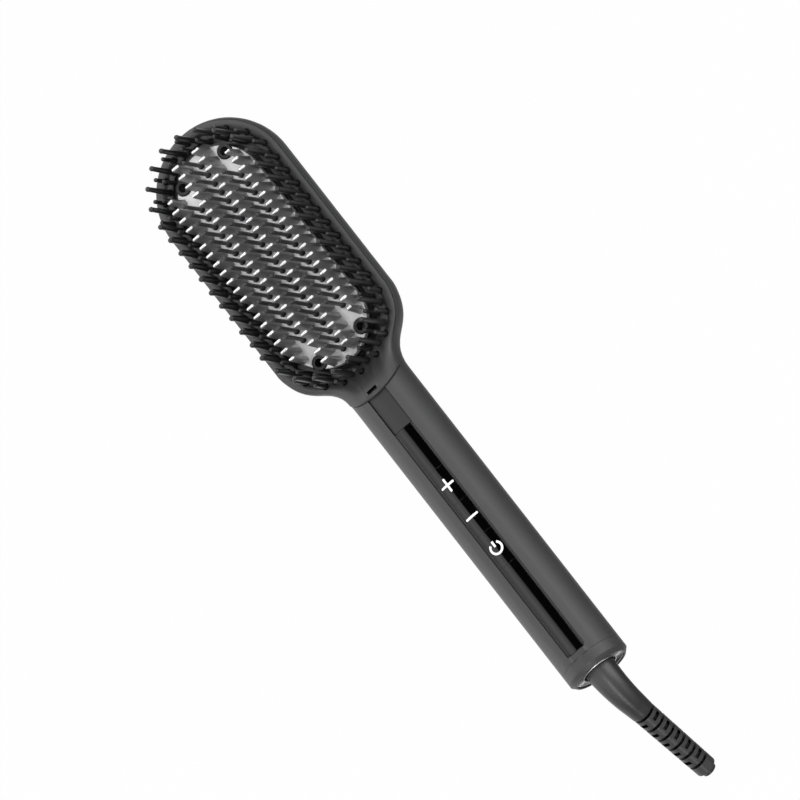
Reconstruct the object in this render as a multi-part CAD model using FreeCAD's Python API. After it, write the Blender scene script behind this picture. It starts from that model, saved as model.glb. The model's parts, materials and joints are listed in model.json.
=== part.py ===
"""Heated straightening brush: head with a finned heating plate and bristles, handle and cord swivel.

The pieces are drawn about the handle's axis: +X runs from the head towards the cord, +Y is the
brush's right and +Z is the side that the bristles stand on. x = 0 is the middle of the heating
plate. save() lifts every piece by AXIS_HEIGHT, so that z = 0 is the flat back of the head.
All sizes are in millimetres.
"""
import FreeCAD
import Part
import math
import os

V = FreeCAD.Vector
OUT = "parts"

# ---- driving dimensions: head -------------------------------------------------------------------
AXIS_HEIGHT = 15.6      # handle axis above the flat back of the head
HEAD_HALF = 32.0        # half width of the head
END_X = 36.1            # centres of the round ends of head, plate and bristle rows, at +-END_X
SIDE_END_X = 38.0       # where the straight sides of the head begin to turn into the neck
SHOULDER_R = 25.0       # convex arc of the neck outline
NECK_R = 24.7           # concave arc of the neck outline
NECK_SLOPE = math.radians(41.5)
BLEND_X = 52.0          # the flat face starts to rise to the round collar here
PART_Z = 4.6            # parting plane between front and rear shell
FACE_Z = 4.4            # level of the dished front face
WALL = 2.1              # shell thickness
OPENING_R = 23.8        # stadium opening in the front face
RIM_SEAT = 2.2          # inset of the front shell's seat in the rear shell

# ---- driving dimensions: handle -----------------------------------------------------------------
HANDLE_R = 14.7
BORE_R = 12.4
TUBE_END_X = 220.4      # seam to the end cap
LIP_X = 71.6            # end of the front shell at its sides
LIP_LEAN = 0.594        # the lip runs further down the handle towards its crest
COLLAR = 0.9            # the front shell's collar stands proud of the handle
LIP_Z = 5.9             # level at which the lip stands at LIP_X
LIP_ROUND = 2.4         # length of the lip's rounded edge along the handle
LIP_DROP = 1.7          # and its depth
LIP_CORNER_R = 3.5      # round corner where the lip meets the parting plane
SEAM = (0.3, 0.35)      # depth and height of the groove along the parting plane
VENT_X = 72.0           # head end of the vent block under the collar
VENT_TOP_Z = 13.1
SLOT_PLACE = (73.8, 14.9)   # x and z of the outlet slot on the collar
SLOT_HALF = (0.65, 2.5)     # half width and half length of the slot
SLOT_LEAN = 30.0            # degrees that the slot leans towards the handle
CHANNEL_HALF = 4.9      # channel along the crest of the handle
LEDGE_Z = 12.7
STRIP_HALF = 3.75
STRIP_Z = 13.35         # crest of the control strip
INSERT_Z = 13.5         # crest of the bare insert
CROWN_R = 16.0          # the strip and the insert are crowned across
CHANNEL_ROUND = 0.45    # rounded edges of the channel
FLOOR_Z = 10.4          # bottom of the channel
FLOOR_UNDER_Z = 9.0
INSERT_X = (75.4, 94.8)
STRIP_X = (94.9, 217.3)
CHANNEL_END_X = 217.9

# ---- driving dimensions: heating plate, fins and bristles ----------------------------------------
PLATE_R = 19.7
PLATE_Z = (6.2, 9.8)
FIN_PITCH = 4.8
FIN_COLUMN = 5.7        # inner columns at +-FIN_COLUMN, outer ones at 3 times that
FIN_TOP_Z = 25.4
FIN_TOP = (1.3, 3.9)    # size of a fin's top along and across the brush
FIN_FOOT = (2.5, 5.2)   # and of its foot
FIN_ROOT = 0.4          # depth to which a fin reaches into the plate
FULL_ROWS = 9           # rows -FULL_ROWS .. +FULL_ROWS have four fins
SHORT_ROWS = 11         # the rows beyond have the two inner ones
BRISTLE_COLUMN = 11.4
OUTER_BRISTLE_X = 39.4  # the outer columns of bristles end here
BRISTLE_TOP_Z = 31.4
INNER_RAIL_Z = (4.2, 6.1)   # rails of the combs under the plate
INNER_RAIL_HALF = 1.5
INNER_BRISTLE_R = (1.0, 0.88)   # radius at the foot and under the round tip
LONG_BRISTLE_R = (1.3, 1.05)
SHORT_BRISTLE_R = (1.05, 0.85)
HOLE_R = 1.4
BOSS_X = 48.4
BOSS_Y = 12.0
BOSS_R = 3.15
ROW_LONG = (25.1, 32.0)     # row radius and tip level of the long rim bristles
ROW_OUTER = (27.0, 18.9)
ROW_INNER = (22.6, 20.0)
ROW_INTERVALS = 10          # bristle intervals along a straight side
ARC_INTERVALS = 9           # bristle intervals round an end
FRAME_Z = (0.6, 2.2)        # combs that carry the rim bristles
COMB_SIDE_X = END_X + 2.0   # the side combs end here
COMB_BOUNDS = (-90.0, -25.0, 25.0, 90.0)    # the end combs meet at these angles
COMB_GAP_DEG = 0.12
TRAY_R = 20.2
TRAY_FLANGE = (22.0, -0.9)  # radius and underside of the tray's flange

# ---- driving dimensions: controls ---------------------------------------------------------------
KEY_PITCH = 17.2
KEYS = {"plus": 126.3, "minus": 126.3 + KEY_PITCH, "power": 126.3 + 2 * KEY_PITCH}
KEY_GAP = 0.06
KEY_TRAVEL = 0.4
STRIP_BASE_Z = 11.6     # bed of the strip under the keys
KEY_UNDER_Z = STRIP_BASE_Z + KEY_TRAVEL + 0.15
STEM_R_KEY = 1.5
STEM_FOOT_Z = 8.4       # foot of a key's stem, on its plunger
PLUNGER_R = 1.6
MARK_STROKE = 1.0
MARK_DEPTH = 0.35
BOARD_Z = (3.8, 5.0)
RAIL_Z = -4.0           # underside of the frame's rails
FOOT_X = (88.0, 138.0, 186.0)

# ---- driving dimensions: end cap and cord swivel --------------------------------------------------
CAP_EDGE_X = 225.2
CAP_END_X = 227.0
CAP_OPEN_R = 12.2
RING_X = (224.8, 226.5)
RING_HOLE_R = 8.2
CORE_R = 6.9
BEARING_GAP = 0.06
SPIGOT_R = 5.0          # the drum's spigot in the elbow
SPIGOT_X = 229.0
SLIP_X = (200.0, 206.5) # where the two slip rings begin on the drum
SLIP_WIDTH = 3.2
SWIVEL_X = 226.0        # where the elbow begins to bend
ELBOW_LEAD = 1.5        # straight run of the elbow before its bend
STEM_R = (7.3, 5.4)
BEND = math.radians(44.0)
BEND_R = 26.0
STEM_STRAIGHT = 7.0     # straight run of the elbow after its bend
ELBOW_LENGTH = ELBOW_LEAD + BEND * BEND_R + STEM_STRAIGHT
RELIEF_R = (5.3, 4.85)
RIB_PITCH = 6.8
RIB_COUNT = 5
RIB_GROOVE = 1.35
RELIEF_CORE_R = 3.2
RELIEF_SLOT = (1.8, 4.5)    # width and length of the slots in the rings
RELIEF_END = 5.4
NUB_R = 3.3
NUB_LENGTH = 1.8
CORD_R = 2.5
CORD_BORE = 14.0


def save(shape, node):
    """Lift a piece to its place over the head's back and write it as one STEP file."""
    placed = shape.copy()
    placed.translate(V(0, 0, AXIS_HEIGHT))
    solids = placed.Solids
    if not solids or not placed.isValid():
        print("BAD", node, len(solids), placed.isValid())
    placed.exportStep(os.path.join(OUT, node + ".step"))
    box = placed.BoundBox
    print("%-18s solids %2d  volume %9.1f  x %7.2f %7.2f  y %6.2f %6.2f  z %6.2f %6.2f" % (
        node, len(solids), placed.Volume, box.XMin, box.XMax, box.YMin, box.YMax, box.ZMin, box.ZMax))


def box(x0, x1, y0, y1, z0, z1):
    """Box between two opposite corners."""
    return Part.makeBox(x1 - x0, y1 - y0, z1 - z0, V(x0, y0, z0))


def rod(radius, x0, x1, y=0.0, z=0.0):
    """Cylinder along X."""
    return Part.makeCylinder(radius, x1 - x0, V(x0, y, z), V(1, 0, 0))


def post(radius, x, y, z0, z1):
    """Cylinder along Z."""
    return Part.makeCylinder(radius, z1 - z0, V(x, y, z0), V(0, 0, 1))


def prism(points, z0, z1):
    """Straight-sided column over a polygon of (x, y) points."""
    corners = [V(x, y, z0) for x, y in points]
    face = Part.Face(Part.makePolygon(corners + corners[:1]))
    return face.extrude(V(0, 0, z1 - z0))


def group(solids):
    """Separate solids that share one node."""
    return Part.makeCompound(solids)


def stadium(radius, z0, z1, end_x=END_X):
    """Stadium-shaped slab with round ends about +-end_x."""
    slab = box(-end_x, end_x, -radius, radius, z0, z1)
    ends = [post(radius, side * end_x, 0, z0, z1) for side in (-1, 1)]
    return slab.multiFuse(ends).removeSplitter()


def mirrored_corners(x, y):
    """The four places (+-x, +-y)."""
    return [(sx * x, sy * y) for sx in (-1, 1) for sy in (-1, 1)]


# ---- head form ------------------------------------------------------------------------------------
SHOULDER_C = V(SIDE_END_X, HEAD_HALF - SHOULDER_R, 0)
NECK_STEP = HANDLE_R + NECK_R - SHOULDER_C.y    # from the shoulder's centre out to the neck's
NECK_REACH = (SHOULDER_R + NECK_R - NECK_STEP * math.cos(NECK_SLOPE)) / math.sin(NECK_SLOPE)
NECK_END_X = SIDE_END_X + NECK_REACH
NECK_C = V(NECK_END_X, HANDLE_R + NECK_R, 0)


def half_width(x):
    """Half width of the head and neck outline at x."""
    shoulder_x = SIDE_END_X + SHOULDER_R * math.sin(NECK_SLOPE)
    neck_x = NECK_END_X - NECK_R * math.sin(NECK_SLOPE)
    if x <= SIDE_END_X:
        return HEAD_HALF
    if x <= shoulder_x:
        return SHOULDER_C.y + math.sqrt(SHOULDER_R ** 2 - (x - SIDE_END_X) ** 2)
    if x <= neck_x:
        start = SHOULDER_C.y + SHOULDER_R * math.cos(NECK_SLOPE)
        return start - (x - shoulder_x) * math.tan(NECK_SLOPE)
    return NECK_C.y - math.sqrt(NECK_R ** 2 - (NECK_END_X - x) ** 2)


def outline_slab(inset, z0, z1):
    """Slab with the outline of head and neck, drawn in by inset."""
    end_r = HEAD_HALF - inset
    turn = NECK_SLOPE
    p1 = V(SIDE_END_X, end_r, z0)
    shoulder_r = SHOULDER_R - inset
    neck_r = NECK_R + inset

    def on_shoulder(angle):
        return SHOULDER_C + V(shoulder_r * math.sin(angle), shoulder_r * math.cos(angle), z0)

    def on_neck(angle):
        return NECK_C + V(-neck_r * math.sin(angle), -neck_r * math.cos(angle), z0)

    def flip(p):
        return V(p.x, -p.y, p.z)

    start = V(-END_X, end_r, z0)
    edges = [Part.LineSegment(start, p1).toShape(),
             Part.Arc(p1, on_shoulder(turn / 2), on_shoulder(turn)).toShape(),
             Part.LineSegment(on_shoulder(turn), on_neck(turn)).toShape(),
             Part.Arc(on_neck(turn), on_neck(turn / 2), on_neck(0)).toShape()]
    other = [Part.LineSegment(flip(start), flip(p1)).toShape(),
             Part.Arc(flip(p1), flip(on_shoulder(turn / 2)), flip(on_shoulder(turn))).toShape(),
             Part.LineSegment(flip(on_shoulder(turn)), flip(on_neck(turn))).toShape(),
             Part.Arc(flip(on_neck(turn)), flip(on_neck(turn / 2)), flip(on_neck(0))).toShape()]
    end = Part.Arc(start, V(-END_X - end_r, 0, z0), flip(start)).toShape()
    close = Part.LineSegment(on_neck(0), flip(on_neck(0))).toShape()
    wire = Part.Wire(Part.__sortEdges__(edges + other + [end, close]))
    return Part.Face(wire).extrude(V(0, 0, z1 - z0))


# right half of the head's cross-section, from the middle of the back round the side to the middle
# of the face, and the angles about the handle axis that the same points take on the handle
PILLOW = [(0, -16.5), (9, -16.2), (17, -15.0), (24.5, -11.9), (29.6, -7.0), (31.7, -2.6), (32.0, 0.6),
          (31.75, 3.4), (30.7, 5.2), (28.7, 5.5), (25.7, 4.7), (18, FACE_Z), (0, FACE_Z)]
ROUND_DEG = [-90, -72, -54, -36, -20, -8, 2, 14, 28, 42, 58, 74, 90]
SIDE_POINTS = range(3, 11)      # these keep their distance from the side as the neck narrows
PILLOW_CORE = 24.5


def section_points(x, inset, collar):
    """Points of the right half of the cross-section at x, drawn in by inset."""
    width = half_width(x)
    rise = min(max((x - BLEND_X) / (NECK_END_X - BLEND_X), 0.0), 1.0)
    rise = rise * rise * (3 - 2 * rise)
    squeeze = (width - (HEAD_HALF - PILLOW_CORE)) / PILLOW_CORE
    points = []
    for i, (y, z) in enumerate(PILLOW):
        flat_y = y - HEAD_HALF + width if i in SIDE_POINTS else y * squeeze
        angle = math.radians(ROUND_DEG[i])
        radius = HANDLE_R + (collar if angle > 0.3 else 0.0)
        points.append(((1 - rise) * flat_y + rise * radius * math.cos(angle),
                       (1 - rise) * z + rise * radius * math.sin(angle)))
    if inset == 0:
        return points
    drawn = []
    for i, (y, z) in enumerate(points):
        before = points[max(i - 1, 0)]
        after = points[min(i + 1, len(points) - 1)]
        dy, dz = after[0] - before[0], after[1] - before[1]
        if i in (0, len(points) - 1):
            dz = 0.0
        length = math.hypot(dy, dz)
        drawn.append((y - inset * dz / length, z + inset * dy / length))
    return drawn


def half_curve(points, x):
    """Smooth curve over the right half of a section, level where it meets the plane of symmetry."""
    path = [V(x, y, z) for y, z in points]
    curve = Part.BSplineCurve()
    curve.interpolate(Points=path, InitialTangent=V(0, 1, 0), FinalTangent=V(0, -1, 0))
    return curve.toShape()


def section_wire(x, inset, collar):
    """Closed cross-section of the head or neck at x."""
    right = half_curve(section_points(x, inset, collar), x)
    left = right.mirror(V(0, 0, 0), V(0, 1, 0))
    return Part.Wire([right, left])


def head_form(inset=0.0, collar=0.0, end_x=NECK_END_X + 5.0):
    """Head and neck as one solid, from the round top end to end_x on the straight handle."""
    points = section_points(0, inset, 0)
    half = half_curve(points, -END_X)
    ends = [V(-END_X, 0, points[-1][1]), V(-END_X, 0, points[0][1])]
    face = Part.Face(Part.Wire([half, Part.LineSegment(ends[0], ends[1]).toShape()]))
    top = face.revolve(V(-END_X, 0, 0), V(0, 0, 1), 180)
    middle = Part.Face(section_wire(-END_X, inset, 0)).extrude(V(END_X + SIDE_END_X, 0, 0))
    stations = [SIDE_END_X, 43.0, 48.0, 53.0, 58.0, 63.0, 68.0, 72.0, NECK_END_X]
    neck = Part.makeLoft([section_wire(x, inset, collar) for x in stations], True, False)
    pieces = [top, neck]
    if end_x > NECK_END_X:
        round_end = Part.Face(section_wire(NECK_END_X, inset, collar))
        pieces.append(round_end.extrude(V(end_x - NECK_END_X, 0, 0)))
    return middle.multiFuse(pieces)


def leaning(solid):
    """Shear a solid drawn about x = 0 so that it leans with the lip, and bring it to the lip."""
    matrix = FreeCAD.Matrix()
    matrix.A13 = LIP_LEAN
    matrix.A14 = LIP_X - LIP_LEAN * LIP_Z
    return solid.transformGeometry(matrix)


def collar_region():
    """Everything on the front side of the lip that closes the front shell on the handle."""
    return leaning(box(-160, 0, -40, 40, -20, 20))


def rounded_collar_region():
    """The same space with the lip's rounded edge taken off."""
    crown = HANDLE_R + COLLAR
    root = V(-LIP_ROUND, 0, crown - LIP_DROP)
    ellipse = Part.Ellipse(V(0, 0, root.z), V(-LIP_ROUND, 0, crown), root)
    quarter = Part.ArcOfEllipse(ellipse, 0, math.pi / 2).toShape()
    tip, top = quarter.Vertexes[0].Point, quarter.Vertexes[1].Point
    rest = Part.makePolygon([top, V(-LIP_ROUND, 0, 0), V(0, 0, 0), tip])
    nose = Part.Face(Part.Wire([quarter] + rest.Edges)).revolve(V(0, 0, 0), V(1, 0, 0), 360)
    return leaning(nose).fuse(leaning(box(-160, -LIP_ROUND, -40, 40, -20, 20)))


def lip_corner():
    """What the round corner between lip and parting plane leaves to the rear shell."""
    turn = math.pi / 2 + math.atan(LIP_LEAN)
    corner_x = LIP_X - LIP_LEAN * (LIP_Z - PART_Z)
    reach = LIP_CORNER_R - 0.1      # the arc crosses both planes a little before it would touch them
    x, z = corner_x - reach / math.tan(turn / 2), PART_Z + reach
    low, side = V(x, -45, z - LIP_CORNER_R), V(x + LIP_CORNER_R, -45, z)
    slant = LIP_CORNER_R * math.sqrt(0.5)
    arc = Part.Arc(low, V(x + slant, -45, z - slant), side).toShape()
    far, deep = V(side.x + 5, -45, z), low.z - 1
    rest = Part.makePolygon([side, far, V(far.x, -45, deep), V(x, -45, deep), low])
    return Part.Face(Part.Wire([arc] + rest.Edges)).extrude(V(0, 90, 0))


def front_region(collar):
    """The space that belongs to the front shell: above the parting plane and inside its seat."""
    above = box(-80, 90, -40, 40, PART_Z, 30).cut(lip_corner())
    seat = outline_slab(RIM_SEAT, 0.0, PART_Z + 1)
    return above.fuse(seat).common(collar)


def bristle_stations(radius, staggered):
    """Places along a rim row; a staggered row stands half an interval on from the others."""
    shift = 0.5 if staggered else 0.0
    places = []
    step = 2 * END_X / ROW_INTERVALS
    for i in range(ROW_INTERVALS + (0 if staggered else 1)):
        x = -END_X + (i + shift) * step
        places += [(x, radius), (x, -radius)]
    turn = math.pi / ARC_INTERVALS
    for i in range(ARC_INTERVALS if staggered else ARC_INTERVALS - 1):
        angle = -math.pi / 2 + (i + (0.5 if staggered else 1.0)) * turn
        dx, dy = radius * math.cos(angle), radius * math.sin(angle)
        places += [(END_X + dx, dy), (-END_X - dx, dy)]
    return places


def bristle(x, y, z0, z1, radii):
    """Tapered bristle with a round tip; radii are those of its foot and its tip."""
    r0, r1 = radii
    foot = Part.LineSegment(V(x, y, z0), V(x + r0, y, z0)).toShape()
    side = Part.LineSegment(V(x + r0, y, z0), V(x + r1, y, z1 - r1)).toShape()
    half = math.sqrt(0.5) * r1
    tip = Part.Arc(V(x + r1, y, z1 - r1), V(x + half, y, z1 - r1 + half), V(x, y, z1)).toShape()
    axis = Part.LineSegment(V(x, y, z1), V(x, y, z0)).toShape()
    face = Part.Face(Part.Wire([foot, side, tip, axis]))
    return face.revolve(V(x, y, 0), V(0, 0, 1), 360)


def outlet_slot():
    """Slot through the collar's crest and the vent block under it."""
    width, length = SLOT_HALF
    slot = box(-width, width, -length, length, -6, 3)
    slot.rotate(V(0, 0, 0), V(0, 1, 0), SLOT_LEAN)
    slot.translate(V(SLOT_PLACE[0], 0, SLOT_PLACE[1]))
    return slot


def seam_groove():
    """Fine groove round the foot of the front shell, just above the parting plane."""
    depth, height = SEAM
    ring = box(-80, LIP_X, -40, 40, PART_Z - 0.1, PART_Z + height)
    return ring.cut(head_form(depth, COLLAR))


# ---- shells ---------------------------------------------------------------------------------------
def make_front_shell():
    """Front of the head: dished face with the plate opening, and the collar round the neck."""
    skin = head_form(0.0, COLLAR).cut(head_form(WALL, COLLAR))
    shell = skin.common(front_region(rounded_collar_region()))
    shell = shell.cut(stadium(OPENING_R, -5, 20))
    holes = [post(HOLE_R, x, y, -5, 20) for x, y in
             bristle_stations(ROW_LONG[0], False) + bristle_stations(ROW_OUTER[0], True)]
    shell = shell.cut(group(holes))
    pocket = box(VENT_X - 0.1, 80, -CHANNEL_HALF, CHANNEL_HALF, 5, VENT_TOP_Z + 0.1)
    over_insert = box(INSERT_X[0] - 0.1, 80, -CHANNEL_HALF, CHANNEL_HALF, 5, INSERT_Z + 0.1)
    shell = shell.cut(pocket).cut(over_insert).cut(outlet_slot()).cut(seam_groove())
    return max(shell.Solids, key=lambda s: s.Volume)


def handle_channel():
    """Stepped channel along the crest of the handle, with rounded far corners."""
    corner = 1.4
    start_x, round_x = LIP_X - 3, CHANNEL_END_X - corner
    wide = CHANNEL_HALF + CHANNEL_ROUND
    edge_z = math.sqrt(HANDLE_R ** 2 - wide ** 2) - CHANNEL_ROUND
    upper = box(start_x, round_x, -CHANNEL_HALF, CHANNEL_HALF, LEDGE_Z, 20)
    flare = box(start_x, round_x, -wide, wide, edge_z, 20)
    shoulders = [rod(CHANNEL_ROUND, start_x - 1, CHANNEL_END_X, s * wide, edge_z) for s in (-1, 1)]
    flare = flare.cut(group(shoulders))
    inner = CHANNEL_HALF - corner
    end = box(round_x, CHANNEL_END_X, -inner, inner, LEDGE_Z, 20)
    rounds = [post(corner, round_x, s * inner, LEDGE_Z, 20) for s in (-1, 1)]
    lower_half = STRIP_HALF + 0.05
    lower = box(INSERT_X[1] - 2, STRIP_X[1] + 0.1, -lower_half, lower_half, FLOOR_Z, 20)
    seat = box(start_x, INSERT_X[1] + 0.1, -CHANNEL_HALF, CHANNEL_HALF, FLOOR_Z, 20)
    return upper.multiFuse([flare, end, lower, seat] + rounds)


def make_rear_shell():
    """Back of the head, neck and the whole handle tube in one moulding."""
    outer = head_form(0.0, 0.0, TUBE_END_X)
    bore = rod(BORE_R, 66, TUBE_END_X + 1)
    bore = bore.cut(box(LIP_X, STRIP_X[1] + 1.5, -BORE_R, BORE_R, FLOOR_UNDER_Z, 20))
    shell = outer.cut(head_form(WALL, 0.0, NECK_END_X)).cut(bore)
    shell = shell.cut(front_region(collar_region()))
    shell = shell.common(box(-90, 230, -40, 40, -AXIS_HEIGHT, 30))
    shell = shell.cut(handle_channel())
    for x in KEYS.values():
        shell = shell.cut(post(STEM_R_KEY + 0.5, x, 0, 8, 14))
    shell = shell.cut(box(99, 115, -2.6, 2.6, 8, 14))
    shell = max(shell.Solids, key=lambda s: s.Volume)
    posts = [post(3.2, x, y, -14.6, TRAY_FLANGE[1]) for x, y in mirrored_corners(BOSS_X, BOSS_Y)]
    pilots = [post(1.15, x, y, -9, 1) for x, y in mirrored_corners(BOSS_X, BOSS_Y)]
    rests = [box(x - 1, x + 1, s * 9.6 - 0.9, s * 9.6 + 0.9, -9.0, RAIL_Z)
             for x in FOOT_X for s in (-1, 1)]
    rests = [r.common(rod(BORE_R + 0.3, 80, 200)) for r in rests]
    return shell.multiFuse(posts + rests).cut(group(pilots)).removeSplitter()


def make_end_cap():
    """End cap with its spigot in the handle and the wall that the cord swivel turns in."""
    rim = rod(HANDLE_R, TUBE_END_X, CAP_EDGE_X)
    bevel = Part.makeCone(HANDLE_R, HANDLE_R - 1.7, CAP_END_X - CAP_EDGE_X, V(CAP_EDGE_X, 0, 0), V(1, 0, 0))
    spigot = rod(BORE_R - 0.05, 212.0, TUBE_END_X)
    body = rim.multiFuse([bevel, spigot])
    body = body.cut(rod(CAP_OPEN_R, 223.4, CAP_END_X + 1))
    body = body.cut(rod(11.0, 211.0, 219.4))
    body = body.cut(rod(CORE_R + BEARING_GAP, 219.0, 224.0))
    body = body.cut(box(211.0, 218.9, -BORE_R, BORE_R, FLOOR_UNDER_Z - 0.05, 15))
    return body.removeSplitter()


def make_end_ring():
    """Bright ring in the mouth of the end cap, with fine radial ribs."""
    ring = rod(CAP_OPEN_R, RING_X[0], RING_X[1]).cut(rod(RING_HOLE_R, RING_X[0] - 1, RING_X[1] + 1))
    count, depth, half = 60, 0.3, 0.21
    low, high = RING_HOLE_R + 0.5, CAP_OPEN_R - 0.5
    grooves = []
    for i in range(count):
        groove = box(RING_X[1] - depth, RING_X[1] + 1, -half, half, low, high)
        groove.rotate(V(0, 0, 0), V(1, 0, 0), 360.0 * i / count)
        grooves.append(groove)
    return ring.cut(group(grooves))


# ---- neck, insert, strip and keys -------------------------------------------------------------------
def crown(x0, x1, crest=STRIP_Z, depth=None):
    """Long round that gives strip and insert their crowned top; with a depth, only its skin."""
    whole = rod(CROWN_R, x0, x1, 0, crest - CROWN_R)
    if depth is None:
        return whole
    return whole.cut(rod(CROWN_R - depth, x0 - 1, x1 + 1, 0, crest - CROWN_R))


def make_neck_vent():
    """Dark block under the collar that the outlet slot goes on through."""
    half = CHANNEL_HALF - 0.05
    block = box(VENT_X, INSERT_X[0] - 0.05, -half, half, FLOOR_Z, VENT_TOP_Z)
    return block.cut(outlet_slot())


def make_neck_insert():
    """Bare matte plate that fills the head end of the channel."""
    half = CHANNEL_HALF - 0.08
    plate = box(INSERT_X[0], INSERT_X[1], -half, half, FLOOR_Z, INSERT_Z).common(
        crown(INSERT_X[0], INSERT_X[1], INSERT_Z))
    return plate.makeFillet(0.25, long_top_edges(plate, half))


def long_top_edges(solid, half):
    """The two upper edges that run along a strip of that half width."""
    return [e for e in solid.Edges if abs(abs(e.CenterOfMass.y) - half) < 1e-6
            and e.BoundBox.XLength > 2.0 and e.BoundBox.ZMin > LEDGE_Z - 0.2]


def key_span(x):
    """First and last x of the key under a mark."""
    return x - KEY_PITCH / 2 + KEY_GAP / 2, x + KEY_PITCH / 2 - KEY_GAP / 2


def make_control_strip():
    """Gloss strip: display window, a low bed for the three keys, and the plain tail."""
    places = sorted(KEYS.values())
    bed = (places[0] - KEY_PITCH / 2, places[-1] + KEY_PITCH / 2)
    low = box(STRIP_X[0], STRIP_X[1], -STRIP_HALF, STRIP_HALF, FLOOR_Z, STRIP_BASE_Z)
    window = box(STRIP_X[0], bed[0] - KEY_GAP / 2, -STRIP_HALF, STRIP_HALF, STRIP_BASE_Z, STRIP_Z)
    tail = box(bed[1] + KEY_GAP / 2, STRIP_X[1], -STRIP_HALF, STRIP_HALF, STRIP_BASE_Z, STRIP_Z)
    corners = [e for e in tail.Edges if abs(e.BoundBox.XMin - STRIP_X[1]) < 1e-6 and e.BoundBox.ZLength > 0.5]
    tail = tail.makeFillet(1.0, corners)
    window = window.common(crown(STRIP_X[0], STRIP_X[1]))
    tail = tail.common(crown(STRIP_X[0], STRIP_X[1]))
    strip = low.multiFuse([window, tail])
    for x in places:
        strip = strip.cut(post(STEM_R_KEY + 0.35, x, 0, 8, 14))
    return strip.removeSplitter()


def bar(x, along, across, z0, z1):
    """Round-ended bar of a key mark, centred at x."""
    half = MARK_STROKE / 2
    if along > 0:
        body = box(x - along / 2, x + along / 2, -half, half, z0, z1)
        ends = [post(half, x + s * along / 2, 0, z0, z1) for s in (-1, 1)]
    else:
        body = box(x - half, x + half, -across / 2, across / 2, z0, z1)
        ends = [post(half, x, s * across / 2, z0, z1) for s in (-1, 1)]
    return body.multiFuse(ends)


def make_mark(name):
    """White inlay that lies in the crowned top of its key."""
    x = KEYS[name]
    skin = crown(x - KEY_PITCH / 2, x + KEY_PITCH / 2, STRIP_Z, MARK_DEPTH)
    solids = mark_form(name, STRIP_Z - 2 * MARK_DEPTH, STRIP_Z + 1).common(skin).Solids
    return solids[0] if len(solids) == 1 else group(solids)


def mark_form(name, z0, z1):
    """Outline of a mark as a column: a cross, a bar across, or an open circle with a short bar."""
    x = KEYS[name]
    if name == "plus":
        return bar(x, 5.7, 0, z0, z1).fuse(bar(x, 0, 5.7, z0, z1)).removeSplitter()
    if name == "minus":
        return bar(x, 0, 5.5, z0, z1).removeSplitter()
    radius, opening = 2.65, math.radians(38)
    ring = post(radius + MARK_STROKE / 2, x, 0, z0, z1)
    ring = ring.cut(post(radius - MARK_STROKE / 2, x, 0, z0 - 1, z1 + 1))
    reach = 6.0
    wedge = prism([(x, 0), (x - reach * math.cos(opening), reach * math.sin(opening)),
                   (x - reach * math.cos(opening), -reach * math.sin(opening))], z0 - 1, z1 + 1)
    ring = ring.cut(wedge)
    stem = box(x - 3.3, x - 0.5, -MARK_STROKE / 2, MARK_STROKE / 2, z0, z1)
    return group([ring, stem])


def make_key(name):
    """Key cap, flush in the strip, with the stem that reaches its switch."""
    x0, x1 = key_span(KEYS[name])
    cap = box(x0, x1, -STRIP_HALF, STRIP_HALF, KEY_UNDER_Z, STRIP_Z).common(crown(x0, x1))
    stem = post(STEM_R_KEY, KEYS[name], 0, STEM_FOOT_Z, KEY_UNDER_Z)
    key = cap.fuse(stem)
    return key.cut(make_mark(name))


def make_switch_bodies():
    """Three switch bodies on the control board, each open for its plunger."""
    bodies = []
    for x in KEYS.values():
        body = box(x - 3, x + 3, -3, 3, BOARD_Z[1], 7.6)
        bodies.append(body.cut(post(PLUNGER_R + 0.3, x, 0, 5.8, 8)))
    return group(bodies)


def make_plunger(name):
    """Switch plunger that the key's stem stands on."""
    return post(PLUNGER_R, KEYS[name], 0, 6.4, STEM_FOOT_Z)


# ---- heating plate and bristles ---------------------------------------------------------------------
def fin(x, y):
    """Upright fin that tapers from its foot in the plate to its narrow top."""
    rings = []
    for z, (along, across) in ((PLATE_Z[1] - FIN_ROOT, FIN_FOOT), (FIN_TOP_Z, FIN_TOP)):
        sides = ((-1, -1), (1, -1), (1, 1), (-1, 1), (-1, -1))
        corners = [V(x + sx * along / 2, y + sy * across / 2, z) for sx, sy in sides]
        rings.append(Part.makePolygon(corners))
    return Part.makeLoft(rings, True, True)


def fin_places():
    """Places of the fins: rows of four, and of two at both ends of the plate."""
    places = []
    for k in range(-SHORT_ROWS, SHORT_ROWS + 1):
        columns = (-3, -1, 1, 3) if abs(k) <= FULL_ROWS else (-1, 1)
        places += [(k * FIN_PITCH, column * FIN_COLUMN) for column in columns]
    return places


def make_heating_plate():
    """Cast plate with its fins, bristle holes and the notches round the screw bosses."""
    plate = stadium(PLATE_R, PLATE_Z[0], PLATE_Z[1])
    edge = stadium(PLATE_R, PLATE_Z[0], FIN_TOP_Z + 1)
    plate = plate.multiFuse([fin(x, y).common(edge) for x, y in fin_places()])
    cuts = [post(HOLE_R, x, y, PLATE_Z[0] - 1, PLATE_Z[1] + 1) for x, y in inner_bristle_places()]
    cuts += [post(BOSS_R + 0.35, x, y, PLATE_Z[0] - 1, FIN_TOP_Z + 1)
             for x, y in mirrored_corners(BOSS_X, BOSS_Y)]
    return plate.cut(group(cuts))


def inner_bristle_places():
    """Places of the bristles that stand between the fins, in three columns."""
    places = []
    for k in range(-SHORT_ROWS, SHORT_ROWS):
        x = (k + 0.5) * FIN_PITCH
        places.append((x, 0.0))
        if abs(x) < OUTER_BRISTLE_X:
            places += [(x, BRISTLE_COLUMN), (x, -BRISTLE_COLUMN)]
    return places


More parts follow.
